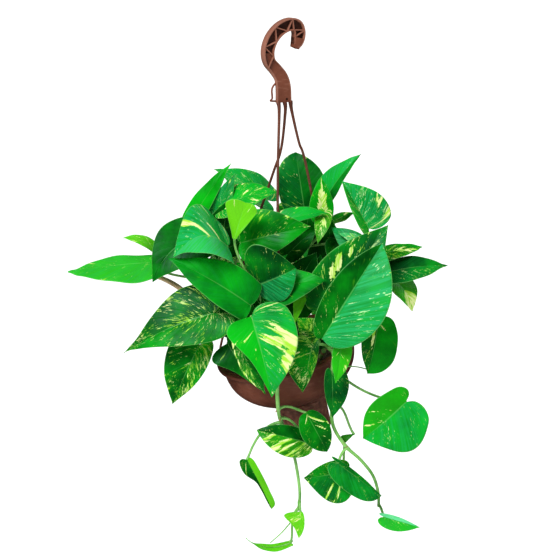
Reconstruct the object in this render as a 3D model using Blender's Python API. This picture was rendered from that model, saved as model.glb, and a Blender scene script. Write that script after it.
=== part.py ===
"""A pothos in a moulded hanging bowl: hook, three strands, bowl, drip cup, soil, vines and leaves.

Metres, +Z up. The origin is the saddle of the hook, where the whole thing hangs from a rod, and
the plant is looked at along +Y. Tables are in millimetres and are scaled once, by mm().
"""

import math
from typing import NamedTuple

import bmesh
import bpy
from mathutils import Matrix, Vector

# ---------------------------------------------------------------- driving dimensions (mm)
RIM_RADIUS = 91.5
RIM_CENTRE = (-4.0, 0.0, -390.0)
POT_TILT_SIDEWAYS = math.radians(-14.0)
POT_TILT_FORWARD = math.radians(3.0)
WALL = 2.2
FLANGE_THICKNESS = 2.6
FLANGE_LIP = 1.4
EDGE_ROUNDING = 1.0
BOWL_DEPTH = 72.0
SPIGOT_RADIUS = 27.0
SPIGOT_DEPTH = 9.0
DRIP_CUP_RADIUS = 33.5
DRIP_CUP_HEIGHT = 50.0
DRIP_CUP_FLOOR = 2.5
SOIL_BELOW_RIM = 11.0
CLEARANCE = 0.4

STRAND_RADIUS = 1.6
STRAND_CIRCLE = 87.7
STRAND_BUTTON_RADIUS = 2.9
STRAND_HOLE_RADIUS = 2.3

HOOK_YAW = math.radians(22.0)
HOOK_DEPTH = 12.0
SHANK_DEPTH = 4.4
WEB_THICKNESS = 2.0
RIB_THICKNESS = 1.7
POCKET_SHARE = 0.80
TAG_LOOP_RADIUS = 1.1

BLADE_THICKNESS = 1.2
PETIOLE_RADIUS = 1.35
PETIOLE_REACH = 0.36
STEM_RADIUS = 2.6
STEM_TIP_RADIUS = 1.8
EDGE_CURL = -0.06

ROUND_STEPS = 32
BLADE_ROWS = 6
PETIOLE_SPANS = 6
ROD_SIDES = 6
PETIOLE_SIDES = 5

# Outer side of the bowl below its flange, (radius, depth below the rim plane), top to bottom.
BOWL_OUTER = (
    (84.5, 7),
    (84.5, 20),
    (80, 36),
    (69.5, 50),
    (55, 61),
    (40, 68.5),
    (SPIGOT_RADIUS + 3, BOWL_DEPTH),
)

# Half of a leaf's outline, from the notch where the leaf stalk meets it to the tip:
# (share of the length, share of the half width). A young leaf is a wedge, with no lobes yet.
HEART = (
    (0.0, 0.0),
    (-0.13, 0.17),
    (-0.17, 0.46),
    (-0.10, 0.78),
    (0.07, 0.97),
    (0.27, 1.0),
    (0.47, 0.88),
    (0.66, 0.64),
    (0.82, 0.35),
    (0.93, 0.13),
    (1.0, 0.0),
)
WEDGE = (
    (0.0, 0.0),
    (0.02, 0.12),
    (0.12, 0.22),
    (0.30, 0.42),
    (0.50, 0.66),
    (0.70, 0.88),
    (0.86, 1.0),
    (0.97, 0.80),
    (1.02, 0.50),
    (1.02, 0.22),
    (1.0, 0.0),
)
# A blade that narrows to its base with hardly any lobes.
OVAL = (
    (0.0, 0.0), (-0.02, 0.20), (0.0, 0.42), (0.06, 0.64), (0.16, 0.84), (0.30, 0.97),
    (0.46, 1.0), (0.64, 0.88), (0.80, 0.62), (0.92, 0.30), (1.0, 0.0),
)
# A half that is widest by the notch and runs almost straight to the tip.
FLAP = (
    (0.0, 0.0), (-0.01, 0.30), (0.0, 0.62), (0.04, 0.88), (0.11, 1.0), (0.20, 0.92),
    (0.32, 0.70), (0.48, 0.44), (0.68, 0.24), (0.88, 0.09), (1.0, 0.0),
)
# A half that stays wide nearly to the tip.
FULL = (
    (0.0, 0.0), (-0.12, 0.20), (-0.13, 0.48), (-0.05, 0.76), (0.12, 0.94), (0.32, 1.0),
    (0.54, 0.98), (0.74, 0.86), (0.89, 0.60), (0.97, 0.28), (1.0, 0.0),
)
# A leaf still rolled up: one half an even strip, the other with one spread lobe at its base.
STRIP = (
    (0.0, 0.0), (-0.02, 0.35), (0.0, 0.65), (0.06, 0.85), (0.18, 0.95), (0.34, 1.0),
    (0.52, 1.0), (0.70, 0.95), (0.86, 0.95), (0.96, 0.70), (1.0, 0.0),
)
ROLLED = (
    (0.0, 0.0), (-0.06, 0.45), (-0.04, 0.85), (0.08, 1.0), (0.20, 0.90), (0.31, 0.56),
    (0.42, 0.24), (0.60, 0.14), (0.80, 0.12), (0.94, 0.08), (1.0, 0.0),
)

# Middle line of the hook, from its nose to the foot of its shank: (x, z, width).
HOOK_LINE = (
    (5.6, -19.4, 7.0),
    (9.4, -11.0, 12.6),
    (10.6, -1.4, 14.0),
    (7.0, 6.4, 14.0),
    (-2.0, 7.6, 14.4),
    (-13.6, 2.4, 14.2),
    (-23.4, -8.4, 13.8),
    (-28.0, -21.6, 13.4),
    (-26.4, -34.0, 13.2),
    (-18.6, -43.2, 14.6),
    (-11.6, -52.6, 16.4),
    (-8.6, -64.0, 18.2),
    (-8.0, -82.0, 19.0),
)

# The three strands, moulded in one with the hook: points below each lug, and where it meets the rim.
STRANDS = (
    (((-14.8, 0, -81), (-15.2, -4, -94), (-14.0, -18, -149), (-14.4, -32, -194), (-14.8, -62, -300)), 258.0),
    (((-6.6, 0, -81), (-5.4, 1, -94), (-10.2, 7, -139), (-20.4, 12, -171), (-47.0, 24, -254)), 160.0),
    (((0.8, 0, -81), (3.2, 1, -94), (11.2, 4, -131), (19.4, 8, -157), (46.0, 24, -282)), 20.0),
)


class Vine(NamedTuple):
    """A stem, with the millimetre points that it grows through."""

    name: str
    points: tuple


class Leaf(NamedTuple):
    """A leaf blade, and how far along its vine its stalk leaves. base and tip end its midrib.

    Its halves are the widths on each side of the midrib, the second on the side of along x face.
    arch lifts the middle of the blade, fold lifts its sides, and bow bends the midrib sideways, all
    as shares of the length or in degrees. point draws the tip out, and steer moves the stalk aside.
    """

    name: str
    vine: str
    along: float
    base: tuple
    tip: tuple
    halves: tuple
    face: tuple
    arch: float = 0.08
    fold: tuple = (8.0, 8.0)
    bow: float = 0.0
    lobe: tuple = (1.0, 1.0)
    point: float = 0.0
    steer: tuple = (0, 0, 0)
    outlines: tuple = (HEART, HEART)


VINES = (
    Vine(
        "vine_left",
        (
            (-46, -12, -399), (-56, -20, -374), (-66, -24, -345), (-78, -26, -316), (-88, -22, -286),
        ),
    ),
    Vine(
        "vine_front",
        (
            (-36, -44, -402), (-38, -54, -378), (-36, -60, -350), (-34, -60, -322), (-36, -54, -298),
        ),
    ),
    Vine(
        "vine_right",
        (
            (42, -22, -381), (54, -32, -360), (64, -38, -336), (74, -38, -308), (82, -32, -278),
        ),
    ),
    Vine(
        "vine_centre",
        (
            (2, 4, -391), (6, 2, -360), (10, 0, -322), (12, -2, -286), (10, -2, -250),
        ),
    ),
    Vine(
        "vine_back",
        (
            (0, 44, -390), (0, 56, -366), (-2, 64, -335), (0, 66, -300), (2, 62, -268),
        ),
    ),
    Vine(
        "trailing_vine_left",
        (
            (-10, -58, -400), (-11, -78, -386), (-13, -98, -386), (-15, -105, -404), (-14, -100, -432),
            (-12, -80, -454), (-5, -66, -480), (6, -67, -512), (13, -70, -557), (12, -70, -584),
        ),
    ),
    Vine(
        "trailing_vine_right",
        (
            (38, -50, -387), (44, -64, -370), (51, -80, -368), (54, -86, -384), (52, -80, -430),
            (53, -76, -465), (68, -80, -491), (88, -78, -512), (104, -72, -536), (112, -66, -562),
            (114, -62, -584),
        ),
    ),
)

LEAVES = (
    Leaf(
        "leaf_front_cream", "vine_front", 0.62, base=(-44, -124, -309), tip=(-21, -136, -403),
        halves=(46, 33), face=(1, -9, 4), outlines=(HEART, FLAP), lobe=(0.7, 0.1), arch=0.1,
        steer=(0, -8, -34),
    ),
    Leaf(
        "leaf_front_plain", "vine_front", 0.97, base=(-46, -98, -304), tip=(-140, -92, -249),
        halves=(24, 31), face=(0, -7, 6), lobe=(0.15, 0.2),
    ),
    Leaf(
        "leaf_left_speckled", "vine_left", 0.62, base=(-89, -88, -317), tip=(-196, -92, -365),
        halves=(35, 43), face=(-1, -8, 6), arch=0.04, bow=0.03, point=0.6,
    ),
    Leaf(
        "leaf_left_low", "vine_left", 0.30, base=(-109, -70, -365), tip=(-142, -80, -436),
        halves=(21, 33), face=(-2, -9, 2), arch=0.06,
    ),
    Leaf(
        "leaf_left_arched", "vine_left", 1.00, base=(-73, -76, -239), tip=(-134, -96, -247),
        halves=(30, 56), face=(-1, -6, 8), lobe=(0.1, 0.8), arch=0.42, fold=(0, 0),
    ),
    Leaf(
        "leaf_left_dark", "vine_left", 0.92, base=(-101, -36, -234), tip=(-163, -62, -287),
        halves=(34, 32), face=(-2, -8, 4), bow=0.12, lobe=(0.4, 0.05),
    ),
    Leaf(
        "leaf_far_left", "vine_left", 0.78, base=(-170, -22, -274), tip=(-270, -30, -284),
        halves=(40, 16), face=(0, -4, 9), arch=0.02,
    ),
    Leaf(
        "leaf_upper_left", "vine_left", 1.00, base=(-121, 0, -229), tip=(-71, 6, -157),
        halves=(14, 17), face=(-3, -8, 4), arch=0.06, fold=(10, 20),
    ),
    Leaf(
        "leaf_top_left_back", "vine_centre", 1.00, base=(-28, 44, -211), tip=(-94, 36, -170),
        halves=(20, 26), face=(0, -6, 8), arch=0.06,
    ),
    Leaf(
        "leaf_top_left_middle", "vine_left", 0.99, base=(-80, -14, -206), tip=(-15, -18, -188),
        halves=(25, 25), face=(0, -5, 8), arch=0.1,
    ),
    Leaf(
        "leaf_young_lime", "vine_front", 1.00, base=(-64, -90, -227), tip=(-51, -82, -186),
        halves=(22, 16), face=(1, -9, 2), arch=-0.1, steer=(-10, -30, 0), outlines=(WEDGE, WEDGE),
    ),
    Leaf(
        "leaf_upper_centre", "vine_centre", 0.90, base=(-58, -54, -241), tip=(24, -65, -218),
        halves=(35, 24), face=(0, -8, 3), lobe=(0.3, 0.3),
    ),
    Leaf(
        "leaf_centre_dark", "vine_front", 0.80, base=(-40, -76, -287), tip=(7, -88, -262),
        halves=(48, 28), face=(1, -9, 1), outlines=(OVAL, OVAL), arch=0.10, lobe=(0.0, 0.3),
    ),
    Leaf(
        "leaf_centre_point", "vine_front", 0.90, base=(-21, -70, -293), tip=(42, -82, -278),
        halves=(20, 26), face=(1, -7, 6),
    ),
    Leaf(
        "leaf_front_narrow", "vine_front", 0.50, base=(-58, -106, -349), tip=(-29, -110, -410),
        halves=(20, 13), face=(-6, -7, 2), arch=0.06, steer=(0, 0, 14),
    ),
    Leaf(
        "leaf_front_shade", "vine_front", 0.25, base=(-74, -82, -357), tip=(-37, -96, -409),
        halves=(27, 27), face=(-3, -8, 4), outlines=(HEART, FLAP),
    ),
    Leaf(
        "leaf_front_right_low", "trailing_vine_right", 0.14, base=(26, -100, -353), tip=(15, -110, -408),
        halves=(9, 30), face=(0, -9, 2), arch=0.06,
    ),
    Leaf(
        "leaf_front_speckled", "trailing_vine_right", 0.06, base=(34, -82, -350), tip=(8, -88, -323),
        halves=(18, 18), face=(0, -9, 4), arch=0.06, lobe=(0.3, 0.3),
    ),
    Leaf(
        "leaf_right_large", "vine_right", 0.55, base=(37, -114, -339), tip=(105, -94, -231),
        halves=(26, 49), face=(1, -8, 5), outlines=(OVAL, OVAL), arch=0.04, fold=(14, 14),
    ),
    Leaf(
        "leaf_right_upper", "vine_right", 0.70, base=(47, -78, -309), tip=(115, -62, -217),
        halves=(38, 35), face=(0, -8, 5),
    ),
    Leaf(
        "leaf_right_standing", "vine_right", 1.00, base=(94, -34, -228), tip=(62, -22, -173),
        halves=(35, 35), face=(1, -9, 3), arch=0.05, fold=(65, 5), lobe=(0.6, 0.6),
    ),
    Leaf(
        "leaf_top_right", "vine_centre", 0.97, base=(43, 15, -207), tip=(87, 14, -147),
        halves=(22, 11), face=(0, -5, 8), lobe=(0.6, 0.6),
    ),
    Leaf(
        "leaf_top_centre", "vine_centre", 0.94, base=(19, 32, -220), tip=(8, 50, -151),
        halves=(29, 31), face=(0, -9, 1), outlines=(FULL, OVAL), arch=0.06, point=0.0,
    ),
    Leaf(
        "leaf_cream_upright", "vine_centre", 0.80, base=(39, -8, -220), tip=(38, -2, -172),
        halves=(15, 15), face=(0, -9, 3), arch=0.05,
    ),
    Leaf(
        "leaf_cream_drooping", "vine_centre", 0.86, base=(42, -28, -211), tip=(33, -50, -243),
        halves=(10, 10), face=(0, -8, 5), steer=(16, 0, -6),
    ),
    Leaf(
        "leaf_right_small", "vine_right", 0.90, base=(115, -24, -262), tip=(162, -20, -255),
        halves=(12, 17), face=(1, -4, 9), arch=0.04,
    ),
    Leaf(
        "leaf_right_dark", "vine_right", 0.80, base=(116, -40, -282), tip=(192, -30, -276),
        halves=(18, 22), face=(1, -5, 8), arch=0.06,
    ),
    Leaf(
        "leaf_right_curled", "vine_right", 0.66, base=(129, -36, -294), tip=(149, -46, -329),
        halves=(22, 18), face=(5, -6, 6), arch=0.14,
    ),
    Leaf(
        "leaf_right_low", "vine_right", 0.40, base=(107, -52, -341), tip=(95, -62, -404),
        halves=(27, 18), face=(2, -9, 3), outlines=(FULL, HEART), point=-0.2,
    ),
    Leaf(
        "leaf_right_lime", "trailing_vine_right", 0.16, base=(60, -106, -349), tip=(53, -116, -394),
        halves=(14, 11), face=(3, -9, 1), arch=0.05,
    ),
    Leaf(
        "leaf_right_shade", "trailing_vine_right", 0.24, base=(50, -96, -392), tip=(51, -102, -444),
        halves=(20, 10), face=(1, -9, 2), arch=0.06,
    ),
    Leaf(
        "leaf_right_heart", "trailing_vine_right", 0.31, base=(142, -72, -437), tip=(91, -72, -486),
        halves=(44, 25), face=(0, -9, 2), outlines=(HEART, HEART), point=-0.8, steer=(-10, 0, -42),
    ),
    Leaf(
        "leaf_trailing_oval", "trailing_vine_left", 0.46, base=(20, -84, -446), tip=(46, -88, -496),
        halves=(18, 19), face=(1, -9, 3), lobe=(0.8, 0.5), outlines=(OVAL, OVAL),
    ),
    Leaf(
        "leaf_trailing_cream", "trailing_vine_left", 0.56, base=(29, -80, -490), tip=(-40, -86, -468),
        halves=(23, 15), face=(-1, -8, 5), outlines=(OVAL, OVAL), lobe=(0.4, 0.4),
    ),
    Leaf(
        "leaf_trailing_rolled", "trailing_vine_left", 0.60, base=(-52, -78, -512), tip=(-22, -78, -580),
        halves=(8, 12), face=(3, -9, 0), outlines=(STRIP, ROLLED), arch=0.05,
    ),
    Leaf(
        "leaf_trailing_lime", "trailing_vine_left", 0.96, base=(14, -82, -582), tip=(12, -86, -617),
        halves=(6, 21), face=(1, -9, 1), outlines=(OVAL, FLAP), arch=0.05,
    ),
    Leaf(
        "leaf_trailing_crescent", "trailing_vine_left", 1.00, base=(2, -68, -635), tip=(-55, -80, -620),
        halves=(7, 6), face=(0, 2, -9), arch=0.2, lobe=(0.3, 0.3),
    ),
    Leaf(
        "leaf_trailing_wing_left", "trailing_vine_right", 0.60, base=(68, -70, -532), tip=(18, -70, -541),
        halves=(38, 17), face=(0, -9, 2),
    ),
    Leaf(
        "leaf_trailing_wing_right", "trailing_vine_right", 0.62, base=(60, -86, -513), tip=(114, -90, -555),
        halves=(5, 22), face=(1, -9, 4), outlines=(HEART, FULL), arch=0.04,
    ),
    Leaf(
        "leaf_trailing_end", "trailing_vine_right", 1.00, base=(121, -74, -594), tip=(166, -70, -611),
        halves=(5, 14), face=(1, -8, 5), arch=0.04,
    ),
    Leaf(
        "leaf_back_top", "vine_back", 1.00, base=(8, 74, -232), tip=(22, 116, -226),
        halves=(28, 28), face=(0, 5, 8), arch=0.14,
    ),
    Leaf(
        "leaf_back_left_high", "vine_back", 0.95, base=(-52, 66, -246), tip=(-104, 104, -242),
        halves=(31, 31), face=(-3, 5, 8), arch=0.14,
    ),
    Leaf(
        "leaf_back_right_high", "vine_back", 0.90, base=(58, 66, -246), tip=(108, 100, -246),
        halves=(30, 30), face=(3, 5, 8), arch=0.14,
    ),
    Leaf(
        "leaf_back_middle", "vine_back", 0.75, base=(4, 92, -276), tip=(-6, 134, -346),
        halves=(40, 40), face=(0, 9, 4), arch=0.12,
    ),
    Leaf(
        "leaf_back_left", "vine_back", 0.60, base=(-66, 80, -300), tip=(-108, 112, -360),
        halves=(36, 36), face=(-4, 8, 4), arch=0.12,
    ),
    Leaf(
        "leaf_back_right", "vine_back", 0.50, base=(64, 84, -298), tip=(104, 112, -362),
        halves=(36, 36), face=(4, 8, 4), arch=0.12,
    ),
)


# ---------------------------------------------------------------- helpers
def mm(point):
    """A point of the tables, in metres."""
    return Vector(point) * 0.001


def clear_scene():
    for thing in list(bpy.data.objects):
        bpy.data.objects.remove(thing)


def material(name, colour, roughness=0.5):
    made = bpy.data.materials.new(name)
    made.use_nodes = True
    shader = made.node_tree.nodes["Principled BSDF"]
    shader.inputs["Base Color"].default_value = (*colour, 1.0)
    shader.inputs["Roughness"].default_value = roughness
    return made


def add_object(name, mesh, finish=None, smooth_below=None):
    """A new object for the mesh, linked to the scene."""
    made = bpy.data.objects.new(name, mesh)
    bpy.context.scene.collection.objects.link(made)
    if finish:
        mesh.materials.append(finish)
    if smooth_below:
        mesh.shade_smooth()
        mesh.set_sharp_from_angle(angle=math.radians(smooth_below))
    return made


def mesh_of(form):
    """The bmesh as a mesh, with its faces pointing out."""
    bmesh.ops.recalc_face_normals(form, faces=form.faces)
    mesh = bpy.data.meshes.new("mesh")
    form.to_mesh(mesh)
    form.free()
    return mesh


def smooth_curve(points, per_span):
    """Points on a smooth curve through the given points, per_span of them for each stretch."""
    ends = [points[0] * 2 - points[1], *points, points[-1] * 2 - points[-2]]
    made = []
    for before, start, end, after in zip(ends, ends[1:], ends[2:], ends[3:]):
        for step in range(per_span):
            t = step / per_span
            made.append(
                0.5
                * (
                    2 * start
                    + (end - before) * t
                    + (2 * before - 5 * start + 4 * end - after) * t * t
                    + (3 * start - before - 3 * end + after) * t * t * t
                )
            )
    made.append(points[-1].copy())
    return made


def tube(name, points, radius, sides, end_radius=None, finish=None):
    """A round rod along the points (metres), tapering from radius to end_radius (mm)."""
    form = bmesh.new()
    end_radius = radius if end_radius is None else end_radius
    side_way = Vector((0, 1, 0))
    rings = []
    for i, point in enumerate(points):
        way = (points[min(i + 1, len(points) - 1)] - points[max(i - 1, 0)]).normalized()
        side_way = (side_way - way * side_way.dot(way)).normalized()
        other_way = way.cross(side_way)
        here = (radius + (end_radius - radius) * i / (len(points) - 1)) * 0.001
        spokes = [
            side_way * math.cos(2 * math.pi * k / sides) + other_way * math.sin(2 * math.pi * k / sides)
            for k in range(sides)
        ]
        rings.append([form.verts.new(point + spoke * here) for spoke in spokes])
    for ring, following in zip(rings, rings[1:]):
        for k in range(sides):
            form.faces.new((ring[k], ring[(k + 1) % sides], following[(k + 1) % sides], following[k]))
    form.faces.new(rings[0])
    form.faces.new(rings[-1])
    return add_object(name, mesh_of(form), finish, smooth_below=50)


def turned(name, profile, finish):
    """A closed turned solid from (radius, height) pairs in mm that start and end on the axis."""
    form = bmesh.new()
    corners = [form.verts.new((radius * 0.001, 0, height * 0.001)) for radius, height in profile]
    edges = [form.edges.new(pair) for pair in zip(corners, corners[1:])]
    bmesh.ops.spin(
        form, geom=corners + edges, axis=(0, 0, 1), cent=(0, 0, 0), angle=2 * math.pi, steps=ROUND_STEPS
    )
    bmesh.ops.remove_doubles(form, verts=form.verts, dist=1e-5)
    return add_object(name, mesh_of(form), finish, smooth_below=35)


def boolean(target, other, operation):
    """Joins or cuts with a helper object, which is hidden."""
    change = target.modifiers.new(operation.lower(), "BOOLEAN")
    change.operation = operation
    change.object = other
    hide(other)


def hide(helper):
    helper.hide_render = True
    helper.display_type = "WIRE"


# ---------------------------------------------------------------- pot
def pot_frame():
    """Where the bowl hangs: its rim plane is tilted, as the plant's weight pulls it."""
    turn = Matrix.Rotation(POT_TILT_FORWARD, 4, "X") @ Matrix.Rotation(POT_TILT_SIDEWAYS, 4, "Y")
    return Matrix.Translation(mm(RIM_CENTRE)) @ turn


def bowl_inner():
    """The inner side of the bowl, WALL inside its outer side, top to bottom."""
    return [(radius - WALL, min(depth, BOWL_DEPTH - WALL)) for radius, depth in BOWL_OUTER[:-1]] + [
        (SPIGOT_RADIUS, BOWL_DEPTH - WALL)
    ]


def build_bowl(frame, finish):
    inner = bowl_inner()
    flange_foot = BOWL_OUTER[0][0]
    profile = [(0, -BOWL_DEPTH - SPIGOT_DEPTH), (SPIGOT_RADIUS, -BOWL_DEPTH - SPIGOT_DEPTH)]
    profile += [(SPIGOT_RADIUS, -BOWL_DEPTH)]
    profile += [(radius, -depth) for radius, depth in reversed(BOWL_OUTER)]
    profile += [(flange_foot, -FLANGE_THICKNESS), (RIM_RADIUS, -FLANGE_THICKNESS - FLANGE_LIP)]
    profile += [(RIM_RADIUS, -EDGE_ROUNDING), (RIM_RADIUS - EDGE_ROUNDING, 0), (flange_foot - WALL, 0)]
    profile += [(radius, -depth) for radius, depth in inner]
    profile += [(0, -BOWL_DEPTH + WALL)]
    bowl = turned("pot_bowl", profile, finish)
    bowl.matrix_world = frame
    for _, angle in STRANDS:
        across = math.radians(angle)
        bpy.ops.mesh.primitive_cylinder_add(
            vertices=8,
            radius=STRAND_HOLE_RADIUS * 0.001,
            depth=0.012,
            location=mm((STRAND_CIRCLE * math.cos(across), STRAND_CIRCLE * math.sin(across), -1.5)),
        )
        drill = bpy.context.object
        drill.name = f"strand_hole_{angle:.0f}"
        drill.matrix_world = frame @ drill.matrix_basis
        boolean(bowl, drill, "DIFFERENCE")


def build_drip_cup(frame, finish):
    top = -BOWL_DEPTH - CLEARANCE
    foot = top - DRIP_CUP_HEIGHT
    inside = SPIGOT_RADIUS + CLEARANCE
    profile = [
        (0, foot),
        (DRIP_CUP_RADIUS - 4, foot),
        (DRIP_CUP_RADIUS - 2.5, foot + 1.5),
        (DRIP_CUP_RADIUS - 0.5, top - 4),
        (DRIP_CUP_RADIUS, top - 3.6),
        (DRIP_CUP_RADIUS, top - 0.8),
        (DRIP_CUP_RADIUS - 1.5, top),
        (inside, top),
        (inside, foot + DRIP_CUP_FLOOR + 1.5),
        (inside - 3, foot + DRIP_CUP_FLOOR),
        (0, foot + DRIP_CUP_FLOOR),
    ]
    cup = turned("drip_cup", profile, finish)
    cup.matrix_world = frame


def build_soil(frame, finish):
    """Potting mix: it fills the bowl to a little below the rim, in a low mound."""
    edge = BOWL_OUTER[0][0] - WALL - CLEARANCE
    profile = [(0, -SOIL_BELOW_RIM + 5), (edge * 0.5, -SOIL_BELOW_RIM + 3.5), (edge - 8, -SOIL_BELOW_RIM)]
    profile += [(edge - 1.0, -SOIL_BELOW_RIM - 1.5)]
    profile += [(radius - CLEARANCE - 0.6, -depth + CLEARANCE) for radius, depth in bowl_inner()[1:-1]]
    profile += [(SPIGOT_RADIUS, -BOWL_DEPTH + WALL + CLEARANCE), (0, -BOWL_DEPTH + WALL + CLEARANCE)]
    soil = turned("potting_soil", profile[::-1], finish)
    soil.matrix_world = frame


# ---------------------------------------------------------------- hanger
def hook_stations():
    """(middle, across, width, depth) along the hook, in mm in the hook's own plane."""
    line = smooth_curve([Vector((x, z, width)) for x, z, width in HOOK_LINE], 3)
    stations = []
    for i, (x, z, width) in enumerate(line):
        before, after = line[max(i - 1, 0)], line[min(i + 1, len(line) - 1)]
        way = Vector((after[0] - before[0], 0, after[1] - before[1])).normalized()
        across = Vector((-way.z, 0, way.x))
        shank = min(max((i / (len(line) - 1) - 0.66) / 0.16, 0), 1)
        stations.append((Vector((x, 0, z)), across, width, HOOK_DEPTH + (SHANK_DEPTH - HOOK_DEPTH) * shank))
    return stations


def build_hook(finish):
    form = bmesh.new()
    stations = hook_stations()
    rings = []
    for middle, across, width, depth in stations:
        half_width, half_depth = across * width / 2, Vector((0, depth / 2, 0))
        corners = [
            middle - half_width - half_depth,
            middle + half_width - half_depth,
            middle + half_width + half_depth,
            middle - half_width + half_depth,
        ]
        rings.append([form.verts.new(corner * 0.001) for corner in corners])
    for ring, following in zip(rings, rings[1:]):
        for k in range(4):
            form.faces.new((ring[k], ring[(k + 1) % 4], following[(k + 1) % 4], following[k]))
    form.faces.new(rings[0])
    form.faces.new(rings[-1])
    hook = add_object("hanger", mesh_of(form), finish, smooth_below=35)
    hook.matrix_world = Matrix.Rotation(HOOK_YAW, 4, "Z")
    for cutter in hook_pockets(stations):
        cutter.matrix_world = hook.matrix_world
        boolean(hook, cutter, "DIFFERENCE")
    loop = tag_loop()
    loop.matrix_world = hook.matrix_world
    boolean(hook, loop, "UNION")
    return hook


def hook_pockets(stations):
    """Triangular pockets between the zigzag ribs, on both faces of the hook."""
    pockets = []
    first, last, step = 3, 26, 3
    for number, start in enumerate(range(first, last, step)):
        flip = 1 if number % 2 else -1
        picks = [stations[start], stations[start + step // 2 + 1], stations[start + step]]
        corners = []
        for place, (middle, across, width, _) in enumerate(picks):
            reach = width / 2 - RIB_THICKNESS
            corners.append(middle + across * reach * (flip if place == 1 else -flip))
        centre = sum(corners, Vector()) / 3
        corners = [centre + (corner - centre) * POCKET_SHARE for corner in corners]
        for side in (-1, 1):
            form = bmesh.new()
            rings = []
            for depth in (WEB_THICKNESS / 2, HOOK_DEPTH):
                offset = Vector((0, side * depth, 0))
                rings.append([form.verts.new((corner + offset) * 0.001) for corner in corners])
            for k in range(3):
                form.faces.new((rings[0][k], rings[0][(k + 1) % 3], rings[1][(k + 1) % 3], rings[1][k]))
            form.faces.new(rings[0])
            form.faces.new(rings[1])
            pockets.append(add_object(f"hook_pocket_{number}_{side + 1}", mesh_of(form)))
    return pockets


def tag_loop():
    """The small open loop beside the shank that holds a plant label."""
    path = [(-15.5, -57.0), (-22.6, -65.0), (-22.4, -77.0), (-25.0, -79.6), (-14.6, -80.6)]
    points = [mm((x, 0, z)) for x, z in path]
    return tube("tag_loop", points, TAG_LOOP_RADIUS, ROD_SIDES)


def strand_path(points, angle, frame):
    """Down from its lug, and through its hole in the bowl's flange."""
    across = math.radians(angle)
    ends = [
        frame @ mm((STRAND_CIRCLE * math.cos(across), STRAND_CIRCLE * math.sin(across), height))
        for height in (14.0, 3.0, -7.4)
    ]
    turn = Matrix.Rotation(HOOK_YAW, 4, "Z")
    upper = [turn @ mm(point) for point in points[:2]] + [mm(point) for point in points[2:]]
    return smooth_curve(upper + ends, 2)


def build_strands(hook, frame):
    """The strands and the button under the rim at the end of each, joined to the hook."""
    for number, (points, angle) in enumerate(STRANDS):
        path = strand_path(points, angle, frame)
        boolean(hook, tube(f"strand_{number}", path, STRAND_RADIUS, ROD_SIDES), "UNION")
        bpy.ops.mesh.primitive_uv_sphere_add(segments=8, ring_count=5, radius=STRAND_BUTTON_RADIUS * 0.001)
        button = bpy.context.object
        button.name = f"button_{number}"
        button.location = path[-1]
        button.scale = (1, 1, 0.6)
        boolean(hook, button, "UNION")


# ---------------------------------------------------------------- plant
def leaf_axes(leaf):
    """(base, along, across, face) of a leaf, in metres and unit vectors."""
    base, tip = mm(leaf.base), mm(leaf.tip)
    along = (tip - base).normalized()
    face = Vector(leaf.face)
    face = (face - along * face.dot(along)).normalized()
    return base, along, along.cross(face), face


def outline_at(outline, share):
    """The outline point a share of the way from the notch to the tip."""
    points = smooth_curve([Vector((a, b, 0)) for a, b in outline], 4)
    place = share * (len(points) - 1)
    low = min(int(place), len(points) - 2)
    return points[low].lerp(points[low + 1], place - low)


def blade_point(leaf, row, side):
    """A point of the blade: row runs 0 to 1 from notch to tip, side -1 to 1 across it."""
    base, along, across, face = leaf_axes(leaf)
    length = (mm(leaf.tip) - base).length
    second = side > 0
    half = leaf.halves[second] * 0.001
    edge = outline_at(leaf.outlines[second], row)
    reach = edge.x * leaf.lobe[second] if edge.x < 0 else edge.x
    rib = row**1.9
    share = abs(side)
    forward = rib + (reach - rib) * share
    out = edge.y * share * half * (1 - leaf.point * max(edge.x, 0) ** 1.5)
    fold = math.radians(leaf.fold[second])
    rise = 4 * forward * (1 - forward) if forward > 0 else 2 * forward
    lift = leaf.arch * length * rise + out * math.sin(fold) + EDGE_CURL * half * (edge.y * share) ** 2
    sideways = out * math.cos(fold) * (1 if second else -1) + leaf.bow * length * rise
    return base + along * forward * length + across * sideways + face * lift


def build_blade(leaf, finish):
    form = bmesh.new()
    notch = form.verts.new(blade_point(leaf, 0, 0))
    tip = form.verts.new(blade_point(leaf, 1, 0))
    sides = (-1.0, -0.5, 0.0, 0.5, 1.0)
    rows = []
    for number in range(1, BLADE_ROWS):
        rows.append([form.verts.new(blade_point(leaf, number / BLADE_ROWS, side)) for side in sides])
    for k in range(4):
        form.faces.new((notch, rows[0][k + 1], rows[0][k]))
        form.faces.new((tip, rows[-1][k], rows[-1][k + 1]))
        for row, following in zip(rows, rows[1:]):
            form.faces.new((row[k], row[k + 1], following[k + 1], following[k]))
    blade = add_object(leaf.name, mesh_of(form), finish)
    blade.data.shade_smooth()
    thick = blade.modifiers.new("thickness", "SOLIDIFY")
    thick.thickness = BLADE_THICKNESS * 0.001
    thick.offset = 0


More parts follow.
